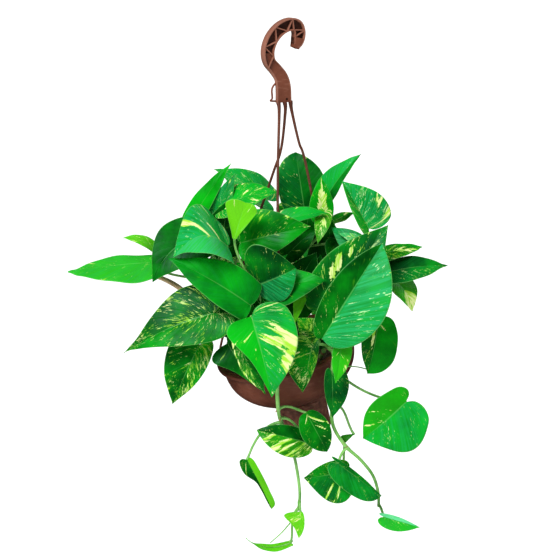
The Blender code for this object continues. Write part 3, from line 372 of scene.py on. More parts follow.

# Small leaves that only show here and there between the others. Those with a tone near 0 are
# painted shade: near black-green leaves for the dark inside of the plant.
SMALL_LEAVES = (
    Leaf("young_wedge", "vine_front", 0.45, (5, -78, -334), (13, -70, -299), 8, (0, -9, 2), 0.9, 0, 0,
        outlines=(WEDGE, WEDGE), lime=0.7),
    Leaf("inner_dark", "vine_centre", 0.7, (-2, -30, -261), (34, -24, -228), (16, 14), (0, -9, 4), 0.05, 0,
        0.1),
    Leaf("centre_flat", "vine_centre", 0.8, (-10, -40, -218), (45, -36, -209), (14, 8), (0, -7, 7),
        (0.8, 0.7), 0.1, 0.2, painted_sheen=0.4),
    Leaf("curled_lime", "vine_left", 0.9, (-166, -14, -257), (-204, -16, -245), 8, (0, -6, 7), 0.9, 0, 0.35,
        arch=0.2, lobe=0.3, lime=0.6),
    Leaf("trail_bud", "trailing_vine_right", 0.42, (80, -68, -482), (65, -70, -489), 5, (0, -8, 5), 0.15, 0,
        0, arch=0.2, outlines=(WEDGE, WEDGE), lime=0.1),
    Leaf("inner_left", "vine_left", 0.45, (-62, -46, -318), (-28, -58, -352), (22, 20), (0, -9, 3), 0.05, 0,
        0.15),
    Leaf("inner_right", "vine_right", 0.35, (56, -62, -330), (30, -68, -372), 20, (0, -9, 2), 0.05, 0,
        0.15),
    Leaf("inner_centre", "vine_centre", 0.45, (12, -40, -300), (4, -50, -350), 24, (0, -9, 2), 0, 0, 0.1),
    Leaf("inner_high", "vine_centre", 0.88, (60, -16, -250), (78, -30, -296), 20, (1, -9, 2), 0.05, 0, 0.2),
    Leaf("deep_left", "vine_left", 0.7, (-82, -12, -246), (-74, -18, -196), (22, 24), (0, -9, 2), 0.1, 0,
        0.1),
    Leaf("deep_right", "vine_centre", 0.72, (48, 6, -290), (50, 0, -222), (27, 24), (0, -9, 2), 0.05, -0.2,
        0.15),
    Leaf("deep_centre", "vine_centre", 0.55, (8, -30, -300), (32, -40, -256), (20, 22), (0, -9, 2), 0.05, 0,
        0.1),
    Leaf("deep_low", "vine_centre", 0.45, (30, -26, -322), (38, -30, -262), (22, 18), (0, -9, 2), 0.05,
        -0.2, 0.1),
    Leaf("high_right", "vine_right", 0.85, (88, -46, -251), (50, -30, -228), (17, 13), (0, -8, 4), 0.3,
        -0.1, 0.2, painted_sheen=0.9),
    Leaf("gap_left", "vine_left", 0.95, (-90, -8, -222), (-66, -2, -168), (12, 13), (-1, -8, 3), (0.6, 0.5),
        (0.05, 0), (0.35, 0.3), painted_sheen=(0.9, 0.6)),
    Leaf("deep_front", "vine_front", 0.8, (-40, -62, -306), (-38, -62, -248), (20, 26), (0, -9, 1), 0.1,
        -0.2, 0.1),
    Leaf("deep_front_low", "vine_front", 0.5, (-60, -66, -346), (-66, -66, -292), 26, (0, -9, 2), 0.1, -0.2,
        0.1),
    Leaf("pale_right", "vine_right", 0.9, (86, -50, -242), (58, -44, -232), (8, 7), (0, -6, 7), 0.9, 0.1,
        0.5, painted_sheen=1.3, patches=((0, 0.5, 0.8, 0.3, 0.3),)),
    Leaf("side_right_a", "vine_right", 0.5, (76, -10, -330), (84, 24, -368), 22, (9, 1, 4), (0.5, 0.4),
        0.05, (0.35, 0.4)),
    Leaf("side_right_b", "vine_centre", 0.6, (50, 22, -300), (66, 50, -336), 22, (8, 3, 4), (0.4, 0.5),
        (0, 0.08), (0.4, 0.35)),
    Leaf("side_right_c", "vine_right", 0.72, (84, 0, -290), (92, 36, -316), 24, (9, 2, 4), (0.6, 0.5), 0,
        (0.3, 0.4)),
    Leaf("side_left_a", "vine_left", 0.45, (-84, -2, -340), (-92, 30, -376), 22, (-9, 1, 4), (0.4, 0.5),
        (0.05, 0.1), 0.4),
    Leaf("side_left_b", "vine_centre", 0.66, (-40, 20, -296), (-62, 46, -330), 22, (-8, 3, 4), (0.5, 0.4),
        0, (0.35, 0.3)),
    Leaf("side_left_c", "vine_left", 0.8, (-96, 8, -296), (-104, 44, -326), 24, (-9, 2, 4), (0.5, 0.6),
        (0.08, 0), (0.35, 0.4)),
    Leaf("gap_top", "vine_centre", 0.9, (20, -4, -246), (24, -2, -208), 14, (0, -9, 2), 0.1, -0.2, 0.15),
    Leaf("gap_arched", "vine_left", 0.7, (-62, 18, -258), (-100, 18, -280), 14, (0, -9, 1), (0.1, 0.15),
        -0.2, (0.1, 0.15)),
    Leaf("gap_speckled", "vine_left", 0.4, (-80, 14, -322), (-92, 14, -356), 15, (0, -9, 1), (0.1, 0.15),
        -0.2, (0.1, 0.15)),
    Leaf("back_low_left", "vine_back", 0.35, (-38, 92, -342), (-52, 112, -398), 24, (-2, 9, 3), (0.5, 0.6),
        (0.05, 0.15), 0.4),
    Leaf("back_low_right", "vine_back", 0.3, (40, 96, -348), (46, 118, -408), (26, 24), (2, 9, 3),
        (0.6, 0.5), (0.1, 0.05), (0.5, 0.4)),
    Leaf("back_side_left", "vine_back", 0.7, (-92, 40, -262), (-136, 58, -296), 24, (-5, 5, 7), 0.6,
        (0.15, 0.05), (0.5, 0.4), arch=0.12, painted_sheen=0.2),
    Leaf("back_side_right", "vine_back", 0.65, (96, 44, -270), (136, 58, -314), 24, (5, 5, 6), (0.5, 0.6),
        (0.05, 0.2), (0.4, 0.5), arch=0.12),
)


# ---------------------------------------------------------------- helpers
def mm(point):
    """A point of the tables, in metres."""
    return Vector(point) * 0.001


def both(value):
    """A table value for each half of a leaf."""
    return value if isinstance(value, tuple) else (value, value)


def share_between(low, high, value):
    """0 below low, 1 above high, and smooth between them."""
    t = min(max((value - low) / (high - low), 0.0), 1.0)
    return t * t * (3 - 2 * t)


def bump_at(value, middle, half_width):
    """1 at the middle, falling off over the half width."""
    return math.exp(-(((value - middle) / half_width) ** 2))


def spline_at(points, place):
    """The point at place (0 to 1) on a smooth curve through the points."""
    spans = len(points) - 1
    span = min(int(place * spans), spans - 1)
    t = place * spans - span
    start, end = points[span], points[span + 1]
    before = points[span - 1] if span else start * 2 - end
    after = points[span + 2] if span + 2 <= spans else end * 2 - start
    return 0.5 * (
        2 * start
        + (end - before) * t
        + (2 * before - 5 * start + 4 * end - after) * t * t
        + (3 * start - before - 3 * end + after) * t * t * t
    )


def smooth_curve(points, per_span):
    """Points on a smooth curve through the given points, per_span of them for each stretch."""
    count = (len(points) - 1) * per_span
    return [spline_at(points, number / count) for number in range(count + 1)]


def deselect():
    bpy.ops.object.select_all(action="DESELECT")


def pick(piece):
    deselect()
    piece.select_set(True)
    bpy.context.view_layer.objects.active = piece


def edit(piece):
    pick(piece)
    bpy.ops.object.mode_set(mode="EDIT")
    bpy.ops.mesh.select_all(action="SELECT")


def leave_edit():
    bpy.ops.object.mode_set(mode="OBJECT")


def close_up(piece):
    """Turns the faces of a closed solid outwards."""
    bpy.ops.mesh.select_all(action="SELECT")
    bpy.ops.mesh.normals_make_consistent(inside=False)
    leave_edit()
    return piece


def settle(piece, matrix=None):
    """Bakes the piece's place, and an optional turn of it, into its mesh."""
    if matrix:
        piece.matrix_world = matrix @ piece.matrix_world
    pick(piece)
    bpy.ops.object.transform_apply(location=True, rotation=True, scale=True)


def apply_modifiers(piece):
    pick(piece)
    for modifier in list(piece.modifiers):
        bpy.ops.object.modifier_apply(modifier=modifier.name)


def join(name, pieces):
    deselect()
    for piece in pieces:
        piece.select_set(True)
    bpy.context.view_layer.objects.active = pieces[0]
    bpy.ops.object.join()
    pieces[0].name = name
    return pieces[0]


def dress(piece, slot, *finishes, nodes=(), smooth=None):
    """Gives the piece its finish and its place in the frame."""
    piece.data.materials.clear()
    for finish in finishes:
        piece.data.materials.append(finish)
    if smooth:
        pick(piece)
        bpy.ops.object.shade_smooth_by_angle(angle=math.radians(smooth))
    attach(piece, "root")
    if nodes:
        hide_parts(*nodes)
    return piece


def sweep(name, stations, section):
    """A closed solid along (point, side, up) stations. A section corner is its shares of side and up."""
    points = [middle + side * a + up * b for middle, side, up in stations for a, b in section]
    count = len(section)
    faces = []
    for ring in range(len(stations) - 1):
        for k in range(count):
            low, high = ring * count + k, ring * count + (k + 1) % count
            faces.append((low, high, high + count, low + count))
    faces += [tuple(range(count)), tuple(range(len(points) - count, len(points)))]
    mesh = bpy.data.meshes.new(name)
    mesh.from_pydata(points, [], faces)
    piece = bpy.data.objects.new(name, mesh)
    bpy.context.scene.collection.objects.link(piece)
    edit(piece)
    return close_up(piece)


def round_section(sides, groove=0.0):
    """A circle's corners, with an optional groove along its top."""
    turns = [2 * math.pi * k / sides for k in range(sides)]
    depths = [1 - groove * bump_at(turn, math.pi / 2, 0.6) for turn in turns]
    return [(math.cos(turn) * depth, math.sin(turn) * depth) for turn, depth in zip(turns, depths)]


def flat_section(corner_a, corner_b):
    """A rectangle of half sides 1 whose corners are cut back by shares of them."""
    a, b = 1 - corner_a, 1 - corner_b
    return [(-a, -1), (a, -1), (1, -b), (1, b), (a, 1), (-a, 1), (-1, b), (-1, -b)]


def rod_stations(points, radii):
    """Stations for a round rod, whose side direction turns as little as it can."""
    side = Vector((0, 1, 0))
    stations = []
    for number, (point, radius) in enumerate(zip(points, radii)):
        way = points[min(number + 1, len(points) - 1)] - points[max(number - 1, 0)]
        way.normalize()
        side = (side - way * side.dot(way)).normalized()
        stations.append((point, side * radius, way.cross(side) * radius))
    return stations


def tube(name, points, radii, sides=12, groove=0.0):
    if not isinstance(radii, list):
        radii = [radii] * len(points)
    return sweep(name, rod_stations(points, radii), round_section(sides, groove))


# ---------------------------------------------------------------- shader maths
class Value:
    """A shader number that Python's arithmetic works on."""

    def __init__(self, finish, socket):
        self.finish = finish
        self.socket = socket

    def maths(self, operation, *values):
        return self.finish.node("ShaderNodeMath", {"operation": operation}, dict(enumerate(values)))

    def __add__(self, other):
        return self.maths("ADD", self, other)

    def __sub__(self, other):
        return self.maths("SUBTRACT", self, other)

    def __rsub__(self, other):
        return self.maths("SUBTRACT", other, self)

    def __mul__(self, other):
        return self.maths("MULTIPLY", self, other)

    def __pow__(self, other):
        return self.maths("POWER", self, other)

    def __rpow__(self, other):
        return self.maths("POWER", other, self)

    def __abs__(self):
        return self.maths("ABSOLUTE", self)

    __radd__ = __add__
    __rmul__ = __mul__

    def highest(self, other):
        return self.maths("MAXIMUM", self, other)

    def wave(self):
        return self.maths("SINE", self)


class Finish:
    """A material, and the one method that adds any node to it."""

    def __init__(self, name, **uniform):
        self.material = bpy.data.materials.new(name)
        self.material.use_nodes = True
        self.tree = self.material.node_tree
        self.shader = self.tree.nodes["Principled BSDF"]
        for socket, value in uniform.items():
            self.shader.inputs[socket.replace("_", " ")].default_value = value

    def node(self, kind, settings, inputs, output=0):
        made = self.tree.nodes.new(kind)
        for name, setting in settings.items():
            setattr(made, name, setting)
        for name, value in inputs.items():
            if isinstance(value, Value):
                self.tree.links.new(value.socket, made.inputs[name])
            else:
                made.inputs[name].default_value = value
        return Value(self, made.outputs[output])

    def vector(self, x, y, z):
        return self.node("ShaderNodeCombineXYZ", {}, {0: x, 1: y, 2: z})

    def split(self, vector):
        return [self.node("ShaderNodeSeparateXYZ", {}, {0: vector}, axis) for axis in range(3)]

    def attribute(self, name, output):
        return self.node("ShaderNodeAttribute", {"attribute_name": name}, {}, output)

    def place(self):
        return self.node("ShaderNodeTexCoord", {}, {}, "Object")

    def noise(self, vector, scale, detail=3.0, roughness=0.55, distortion=0.0):
        inputs = {"Vector": vector, "Scale": scale, "Detail": detail, "Roughness": roughness}
        return self.node("ShaderNodeTexNoise", {}, inputs | {"Distortion": distortion})

    def ramp(self, value, low, high):
        """0 where the value is under low, 1 where it is over high, and smooth between them."""
        settings = {"interpolation_type": "SMOOTHSTEP"}
        inputs = {"Value": value, "From Min": low, "From Max": high}
        return self.node("ShaderNodeMapRange", settings, inputs)

    def drawn_noise(self, vector, scales, detail):
        """Noise drawn out along one axis by its smaller scale there."""
        drawn = self.node("ShaderNodeMapping", {}, {"Vector": vector, "Scale": scales})
        return self.noise(drawn, 1.0, detail)

    def mix(self, share, first, second):
        """A colour between the two."""
        colours = [value if isinstance(value, Value) else (*value, 1.0) for value in (first, second)]
        inputs = {0: share, 6: colours[0], 7: colours[1]}
        return self.node("ShaderNodeMix", {"data_type": "RGBA"}, inputs, 2)

    def bump(self, height, distance):
        return self.node("ShaderNodeBump", {}, {"Height": height, "Distance": distance}, "Normal")

    def feed(self, **links):
        for socket, value in links.items():
            self.tree.links.new(value.socket, self.shader.inputs[socket.replace("_", " ")])
        return self.material


# ---------------------------------------------------------------- finishes
DEEP_GREEN = (0.0, 0.035, 0.002)
BRIGHT_GREEN = (0.002, 0.42, 0.005)
# Painted sheen: a teal reflection painted into the leaf's green.
PAINTED_SHEEN_TEAL = (0.010, 0.33, 0.085)
LIME = (0.13, 0.55, 0.008)
PALE_LIME = (0.30, 0.62, 0.035)
PALE_GREEN = (0.16, 0.52, 0.12)
# Painted shade for the floor of the hook's pockets.
PAINTED_POCKET_SHADE = (0.022, 0.006, 0.003)
CREAM = (0.66, 0.76, 0.30)
# Painted sheen on flecks: the whitish colour they take where the teal sheen is painted.
PAINTED_SHEEN_FLECK = (0.42, 0.74, 0.36)
# Painted sheen, pale: the lighter teal where the painted sheen is strongest.
PALE_PAINTED_SHEEN = (0.13, 0.66, 0.28)
UNDER_GREEN = (0.07, 0.36, 0.08)


def leaf_finish(name, underside):
    """Green marbled with cream and lime, in streaks that follow the side veins, with a painted teal sheen
    and a tone that is partly painted shade.
    """
    roughness = 0.55 if underside else 0.36
    leaf = Finish(name, Specular_IOR_Level=0.08, Specular_Tint=(0.6, 0.95, 1.0, 1.0))
    side, row, seed = leaf.split(leaf.attribute("place", "Vector"))
    cream, fleck, tone = leaf.split(leaf.attribute("look", "Vector"))
    # Young-growth lime, and the strength of the painted teal sheen.
    lime, painted_sheen, _ = leaf.split(leaf.attribute("lime_and_sheen", "Vector"))
    share = abs(side)
    vein = row - share * (1 - row) ** VEIN_BEND * VEIN_SWEEP

    def streaks(across, along, offset, detail, distortion=0.0):
        place = leaf.vector(side * across + seed, vein * along, seed * 1.7 + offset)
        return leaf.noise(place, 1.0, detail, 0.6, distortion)

    sector = streaks(0.9, 9.0, 0.0, 4.0, 0.4) + streaks(0.5, 3.0, 31.0, 1.0) * 0.6 - 0.3
    sector = sector - (0.73 - cream * 0.46)
    fine = streaks(7.5, 70.0, 11.0, 4.0, 0.3) * 0.5 + streaks(2.2, 16.0, 41.0, 2.0) * 0.28
    fine = fine + streaks(1.2, 4.0, 17.0, 2.0) * 0.22
    fine = fine - (0.672 - fleck * 0.24)
    cream_mask = leaf.ramp(sector, -0.008, 0.010)
    halo = leaf.ramp(sector, -0.09, 0.03)
    fleck_mask = leaf.ramp(fine, -0.010, 0.016)
    cloud = leaf.noise(leaf.place(), 26.0, 3.0)
    ripple = leaf.ramp(abs((vein * (VEINS * math.pi)).wave()), 0.0, 0.22)
    midrib = leaf.ramp(share + row * 0.02, 0.045, 0.018)
    margin = leaf.ramp(share, 0.972, 0.995)

    # The tone is partly the leaf's own green and partly painted shade, darkest on leaves in shadow. Random
    # clouds and lighter veins vary it.
    depth = tone + (cloud - 0.5) * 1.7 + (1 - ripple) * 0.07
    sheen_streaks = leaf.ramp(streaks(0.8, 36.0, 23.0, 2.0), 0.38, 0.62)
    green = leaf.mix(leaf.ramp(depth, -0.25, 1.25), DEEP_GREEN, BRIGHT_GREEN)
    green = leaf.mix(lime, green, LIME)
    # Painted sheen: teal streaked along the veins, and pale teal where its value passes 1.
    green = leaf.mix(painted_sheen * (0.25 + sheen_streaks * 0.6), green, PAINTED_SHEEN_TEAL)
    green = leaf.mix(leaf.ramp(painted_sheen, 1.0, 2.0) * (0.6 + sheen_streaks * 0.4), green, PALE_PAINTED_SHEEN)
    green = leaf.mix(halo * 0.3, green, LIME)
    pale = leaf.mix(leaf.ramp(leaf.noise(leaf.place(), 60.0, 2.0), 0.4, 0.7), PALE_LIME, CREAM)
    # Flecks turn whitish where the painted sheen lies.
    colour = leaf.mix(fleck_mask * 0.85, green, leaf.mix(painted_sheen * 0.8, pale, PAINTED_SHEEN_FLECK))
    mottle = leaf.ramp(streaks(1.5, 16.0, 53.0, 3.0), 0.44, 0.60)
    colour = leaf.mix(cream_mask, colour, leaf.mix(mottle, CREAM, PALE_LIME))
    colour = leaf.mix((midrib * 0.30).highest(margin * 0.6), colour, PALE_GREEN)
    if underside:
        colour = leaf.mix(0.62, colour, UNDER_GREEN)
    grain = leaf.noise(leaf.place(), 900.0, 2.0) * 0.25 + ripple * 0.5
    return leaf.feed(
        Base_Color=colour,
        Roughness=roughness + (cloud - 0.5) * 0.16 + cream_mask * 0.06,
        Normal=leaf.bump(grain, 0.00025),
    )


def stem_finish():
    """Fresh green, with pale ridges, a flush of tan at the joints, and fine scars."""
    stem = Finish("stem_green", Coat_Weight=0.1, Coat_Roughness=0.4)
    place = stem.place()
    cloud = stem.noise(place, 35.0, 3.0)
    fibre = stem.drawn_noise(place, (900, 900, 60), 2.0)
    old = stem.attribute("old", "Fac")
    colour = stem.mix(stem.ramp(cloud, 0.3, 0.7), (0.05, 0.27, 0.02), (0.17, 0.46, 0.09))
    colour = stem.mix(stem.ramp(fibre, 0.4, 0.7) * 0.4, colour, (0.36, 0.62, 0.20))
    colour = stem.mix(stem.ramp(old + (fibre - 0.5) * 0.5, 0.35, 0.8), colour, (0.22, 0.12, 0.045))
    colour = stem.mix(stem.ramp(old + (fibre - 0.5) * 0.9, 1.0, 2.0), colour, (0.55, 0.40, 0.22))
    rough = 0.42 + cloud * 0.12 + old * 0.3
    return stem.feed(Base_Color=colour, Roughness=rough, Normal=stem.bump(fibre, 0.0002))


def plastic_finish(name, dark, light, rubbed_and_highlight, mottle):
    """Moulded plastic: mottled, faintly grained, with paler rubbed streaks, a painted shade in the hook's
    pockets and a painted highlight on its rails and ribs.
    """
    plastic = Finish(f"{name}_plastic", Specular_IOR_Level=0.25)
    place = plastic.place()
    cloud = plastic.noise(place, mottle, 4.0)
    grain = plastic.noise(place, 1400.0, 2.0)
    flow = plastic.drawn_noise(place, (60, 60, 260), 3.0)
    rubbed = plastic.ramp(flow * 0.6 + cloud * 0.4, 0.54, 0.72)
    colour = plastic.mix(plastic.ramp(cloud, 0.3, 0.7), dark, light)
    colour = plastic.mix(rubbed * 0.55, colour, rubbed_and_highlight)
    # Painted shade: the hook's web, the floor of its pockets, is darkened.
    colour = plastic.mix(plastic.attribute("painted_pocket_shade", "Fac") * 0.75, colour, PAINTED_POCKET_SHADE)
    # Painted highlight: the hook's rails and ribs are lightened towards the rubbed colour.
    colour = plastic.mix(plastic.attribute("painted_highlight", "Fac") * (0.25 + cloud * 0.7), colour, rubbed_and_highlight)
    rough = 0.42 + cloud * 0.18 + rubbed * 0.1
    return plastic.feed(Base_Color=colour, Roughness=rough, Normal=plastic.bump(grain, 0.00015))


def soil_finish():
    """Damp peat and bark, with paler crumbs."""
    soil = Finish("damp_potting_mix")
    place = soil.place()
    crumb = soil.noise(place, 420.0, 4.0, 0.7)
    patch = soil.noise(place, 60.0, 3.0)
    colour = soil.mix(soil.ramp(crumb, 0.35, 0.7), (0.012, 0.007, 0.004), (0.10, 0.055, 0.028))
    colour = soil.mix(soil.ramp(patch, 0.55, 0.75) * 0.5, colour, (0.16, 0.10, 0.055))
    return soil.feed(Base_Color=colour, Roughness=0.8 + patch * 0.2, Normal=soil.bump(crumb, 0.0015))


def floor_finish():
    """Pale, faintly mottled studio paper."""
    paper = Finish("pale_paper")
    fleece = paper.noise(paper.place(), 6.0, 2.0)
    colour = paper.mix(fleece, (0.93, 0.93, 0.93), (0.96, 0.96, 0.96))
    return paper.feed(Base_Color=colour, Roughness=0.8 + fleece * 0.1)


# ---------------------------------------------------------------- pot
def pot_frame():
    """Where the bowl hangs: its rim plane is tilted, as the plant's weight pulls it."""
    turn = Matrix.Rotation(POT_TILT_FORWARD, 4, "X") @ Matrix.Rotation(POT_TILT_SIDEWAYS, 4, "Y")
    return Matrix.Translation(mm(RIM_CENTRE)) @ turn


def turned(name, profile, steps=96):
    """A closed turned solid: a disc, extruded ring by ring through the (radius, height) profile."""
    (radius, height), *rest = profile
    deselect()
    bpy.ops.mesh.primitive_circle_add(
        vertices=steps, radius=radius * 0.001, fill_type="NGON", location=(0, 0, height * 0.001)
    )
    piece = bpy.context.object
    piece.name = name
    edit(piece)
    for next_radius, next_height in rest:
        rise = (next_height - height) * 0.001
        bpy.ops.mesh.extrude_region_move(TRANSFORM_OT_translate={"value": (0, 0, rise)})
        ratio = next_radius / radius
        centre = mm((0, 0, next_height))
        bpy.ops.transform.resize(value=(ratio, ratio, 1), center_override=centre)
        radius, height = next_radius, next_height
    return close_up(piece)


def build_bowl(finish):
    """The bowl from its spigot up the outside, over the rolled flange, and down the inside."""
    outside = [tuple(point) for point in smooth_curve([Vector(point) for point in BOWL_OUTER], 4)]
    spigot, foot, floor = SPIGOT_RADIUS, -BOWL_DEPTH - SPIGOT_LENGTH, WALL - BOWL_DEPTH
    profile = [(2, foot), (spigot - 1, foot), (spigot, foot + 1), (spigot, -BOWL_DEPTH - 0.4)]
    profile += [(spigot + 1, -BOWL_DEPTH)] + outside[::-1] + list(FLANGE)
    profile += [(radius - WALL, max(height, floor)) for radius, height in outside[:-1]]
    profile += [(spigot, floor), (2, floor)]
    bowl = turned("bowl", profile, 128)
    settle(bowl, pot_frame())
    return dress(bowl, "terracotta_plastic", finish, nodes=["pot_bowl"], smooth=40)


def build_drip_cup(finish):
    top = -BOWL_DEPTH - 0.5
    foot = top - DRIP_CUP_HEIGHT + 0.2
    outer, inside = DRIP_CUP_RADIUS, SPIGOT_RADIUS + 0.5
    profile = [(2, foot + 1.2), (outer - 8, foot + 1.2), (outer - 7, foot), (outer - 4.4, foot)]
    profile += [(outer - 3.2, foot + 0.5)]
    rise = DRIP_CUP_HEIGHT - 9.0
    profile += [(outer - 2.7 + 1.7 * k / 6, foot + 1.6 + rise * k / 6) for k in range(7)]
    profile += [(outer - 0.9, top - 5.4), (outer - 0.1, top - 4.8), (outer, top - 4.2)]
    profile += [(outer, top - 1.2), (outer - 0.4, top - 0.3), (outer - 1.3, top)]
    profile += [(inside + 0.4, top), (inside, top - 0.4), (inside, foot + 5)]
    profile += [(inside - 1, foot + 3.4), (inside - 3, foot + 2.8), (2, foot + 2.8)]
    cup = turned("drip_cup_shell", profile, 96)
    settle(cup, pot_frame())
    return dress(cup, "terracotta_plastic", finish, nodes=["drip_cup"], smooth=40)


def soil_height(share):
    """The mound's height at a share of its radius."""
    return -SOIL_BELOW_RIM + SOIL_CROWN * (1 - share**2)


def soil_mound():
    edge, floor = SOIL_RADIUS, 0.9 - BOWL_DEPTH + WALL
    top = [(edge * share, soil_height(share)) for share in [0.97 - 0.05 * k for k in range(19)]]
    below = [(radius - WALL - 1.1, height + 0.5) for radius, height in BOWL_OUTER[1:-1]]
    profile = [(2, floor), (SPIGOT_RADIUS, floor)] + below[::-1]
    mound = turned("soil", profile + [(edge - 0.4, -SOIL_BELOW_RIM - 1.6)] + top, 96)
    for vertex in mound.data.vertices:
        reach = vertex.co.xy.length * 1000
        if vertex.co.z * 1000 > -SOIL_BELOW_RIM - 1 and reach < edge - 1:
            lumps = noise.fractal(vertex.co * 160, 1.0, 2.0, 3) * 1.6
            vertex.co.z += (lumps + 0.5 * noise.noise(vertex.co * 700)) * 0.001
    return mound


def bark_chip(rng):
    angle, reach = rng.uniform(0, 2 * math.pi), math.sqrt(rng.random()) * (SOIL_RADIUS - 5)
    size = rng.uniform(0.9, 2.6)
    height = soil_height(reach / SOIL_RADIUS) + size * 0.3
    deselect()
    bpy.ops.mesh.primitive_ico_sphere_add(
        subdivisions=1,
        radius=size * 0.001,
        location=mm((reach * math.cos(angle), reach * math.sin(angle), height)),
        rotation=[rng.uniform(0, math.pi) for _ in range(3)],
        scale=(rng.uniform(0.8, 1.9), 1, rng.uniform(0.4, 0.9)),
    )
    chip = bpy.context.object
    for vertex in chip.data.vertices:
        vertex.co *= rng.uniform(0.75, 1.2)
    return chip


def build_soil(finish):
    """A low crumbly mound, with bark chips lying on it."""
    rng = random.Random(7)
    soil = join("soil_surface", [soil_mound()] + [bark_chip(rng) for _ in range(BARK_CHIPS)])
    settle(soil, pot_frame())
    return dress(soil, "potting_mix", finish, nodes=["potting_soil"], smooth=35)


# ---------------------------------------------------------------- hanger
def hook_stations():
    """Stations along the hook, in mm."""
    line = smooth_curve([Vector(point) for point in HOOK_LINE], 9)
    stations = []
    for number, (x, z, width) in enumerate(line):
        before, after = line[max(number - 1, 0)], line[min(number + 1, len(line) - 1)]
        way = Vector((after.x - before.x, 0, after.y - before.y)).normalized()
        shank = share_between(0.62, 0.82, number / (len(line) - 1))
        depth = HOOK_DEPTH + (SHANK_DEPTH - HOOK_DEPTH) * shank
        stations.append(Station(Vector((x, 0, z)), Vector((-way.z, 0, way.x)), width, depth))
    return stations


def hook_strip(name, stations, inset=0.0, rail=None, deepest=100.0, corner=0.35):
    """A strip along the hook, inset from both its edges, or a rail along one of them.

    rail is (its half width, the side that it is on).
    """
    made = []
    for middle, across, width, depth in stations:
        half, shift = width / 2 - inset, 0.0
        if rail:
            half, shift = rail[0], rail[1] * (width / 2 - rail[0])
        up = Vector((0, min(depth, deepest) / 2, 0))
        made.append([part * 0.001 for part in (middle + across * shift, across * half, up)])
    return sweep(name, made, flat_section(corner, corner * 0.3))


def build_hook_plate(stations):
    """The plain lower plate, with the small hole above its middle lug."""
    first = int(len(stations) * 0.60)
    plate = hook_strip("plate", stations[first:], 0.3, deepest=SHANK_DEPTH + 1.2)
    deselect()
    spot = {"radius": HOOK_HOLE_RADIUS * 0.001, "location": mm(HOOK_HOLE), "rotation": (math.pi / 2, 0, 0)}
    bpy.ops.mesh.primitive_cylinder_add(vertices=24, depth=0.02, **spot)
    drill = bpy.context.object
    cut = plate.modifiers.new("hole", "BOOLEAN")
    cut.operation = "DIFFERENCE"
    cut.object = drill
    apply_modifiers(plate)
    bpy.data.objects.remove(drill)
    return plate


def build_hook():
    """Two rails with a web and zigzag ribs between them, running out into the plain plate."""
    stations = hook_stations()
    rail = RAIL / 2
    parts = [
        hook_strip("outer_rail", stations[2:], rail=(rail * 1.25, -1)),
        hook_strip("inner_rail", stations[3:], rail=(rail, 1)),
        hook_strip("web", stations[2:], 0.5, deepest=WEB),
        hook_strip("nose", stations[:13], corner=0.25),
        build_hook_plate(stations),
    ]
    # The rails get a painted highlight and the web a painted shade in its pockets.
    for part, name, value in zip(parts, ("painted_highlight", "painted_highlight", "painted_pocket_shade"), (0.9, 0.45, 1.0)):
        mark(part, name, value)
    starts = range(12, int(len(stations) * TRUSSED_SHARE) - RIB_STEP, RIB_STEP)
    parts += [hook_rib(stations[i], stations[i + RIB_STEP], 1 - 2 * (k % 2)) for k, i in enumerate(starts)]
    loop = smooth_curve([mm((x, 0, z)) for x, z in TAG_LOOP], 3)
    parts.append(tube("loop", loop, TAG_LOOP_RADIUS * 0.001, 10))
    return parts


def hook_rib(first, last, side):
    """A zigzag rib from one rail at its first station to the other rail at its last."""
    ends = []
    for station, way in ((first, side), (last, -side)):
        ends.append((station.middle + station.across * way * (station.width - RAIL) / 2) * 0.001)
    across = (ends[1] - ends[0]).normalized().cross(Vector((0, 1, 0))) * RIB_THICKNESS * 0.0005
    up = Vector((0, first.depth / 2 - 0.5, 0)) * 0.001
    rib = sweep("rib", [(end, across, up) for end in ends], flat_section(0.5, 0.12))
    # A painted highlight along the rib.
    mark(rib, "painted_highlight", 0.8)
    return rib


def strand_path(points, angle):
    """Down from its lug, and through its hole in the bowl's flange."""
    across = math.radians(angle)
    ring = (STRAND_CIRCLE * math.cos(across), STRAND_CIRCLE * math.sin(across))
    ends = [pot_frame() @ mm((*ring, height)) for height in (14.0, 3.0, -7.4)]
    turn = Matrix.Rotation(HOOK_YAW, 4, "Z")
    placed = [mm(point) for point in points]
    return smooth_curve([turn @ point for point in placed[:2]] + placed[2:] + ends, 8)


def build_hanger(hook_finish, strand_finish):
    hook = join("hook", build_hook())
    settle(hook, Matrix.Rotation(HOOK_YAW, 4, "Z"))
    dress(hook, "hanger_plastic", hook_finish, nodes=["hanger"], smooth=35)
    for number, (points, angle) in enumerate(STRANDS):
        path = strand_path(points, angle)
        radii = [0.001 * (STRAND_RADIUS + STRAND_FLARE * bump_at(i, 0, 7)) for i in range(len(path))]
        strand = tube(f"strand_{number}", path, radii, 12)
        deselect()
        place = {"radius": BUTTON_RADIUS * 0.001, "location": path[-1]}
        bpy.ops.mesh.primitive_uv_sphere_add(segments=20, ring_count=12, **place)
        button = bpy.context.object
        button.scale = (1, 1, BUTTON_FLATNESS)
        settle(button)
        strand = join(f"strand_{number}", [strand, button])
        dress(strand, "hanger_plastic", strand_finish, smooth=50)


# ---------------------------------------------------------------- leaves
def leaf_axes(leaf):
    """(base, along, across, face) of a leaf, in metres and unit vectors."""
    base, tip = mm(leaf.base), mm(leaf.tip)
    along = (tip - base).normalized()
    face = Vector(leaf.face)
    face = (face - along * face.dot(along)).normalized()
    return base, along, along.cross(face), face


def vein_at(row, side):
    """Where the side vein through a point of a blade leaves the midrib, as a row."""
    return row - VEIN_SWEEP * abs(side) * (1 - row) ** VEIN_BEND


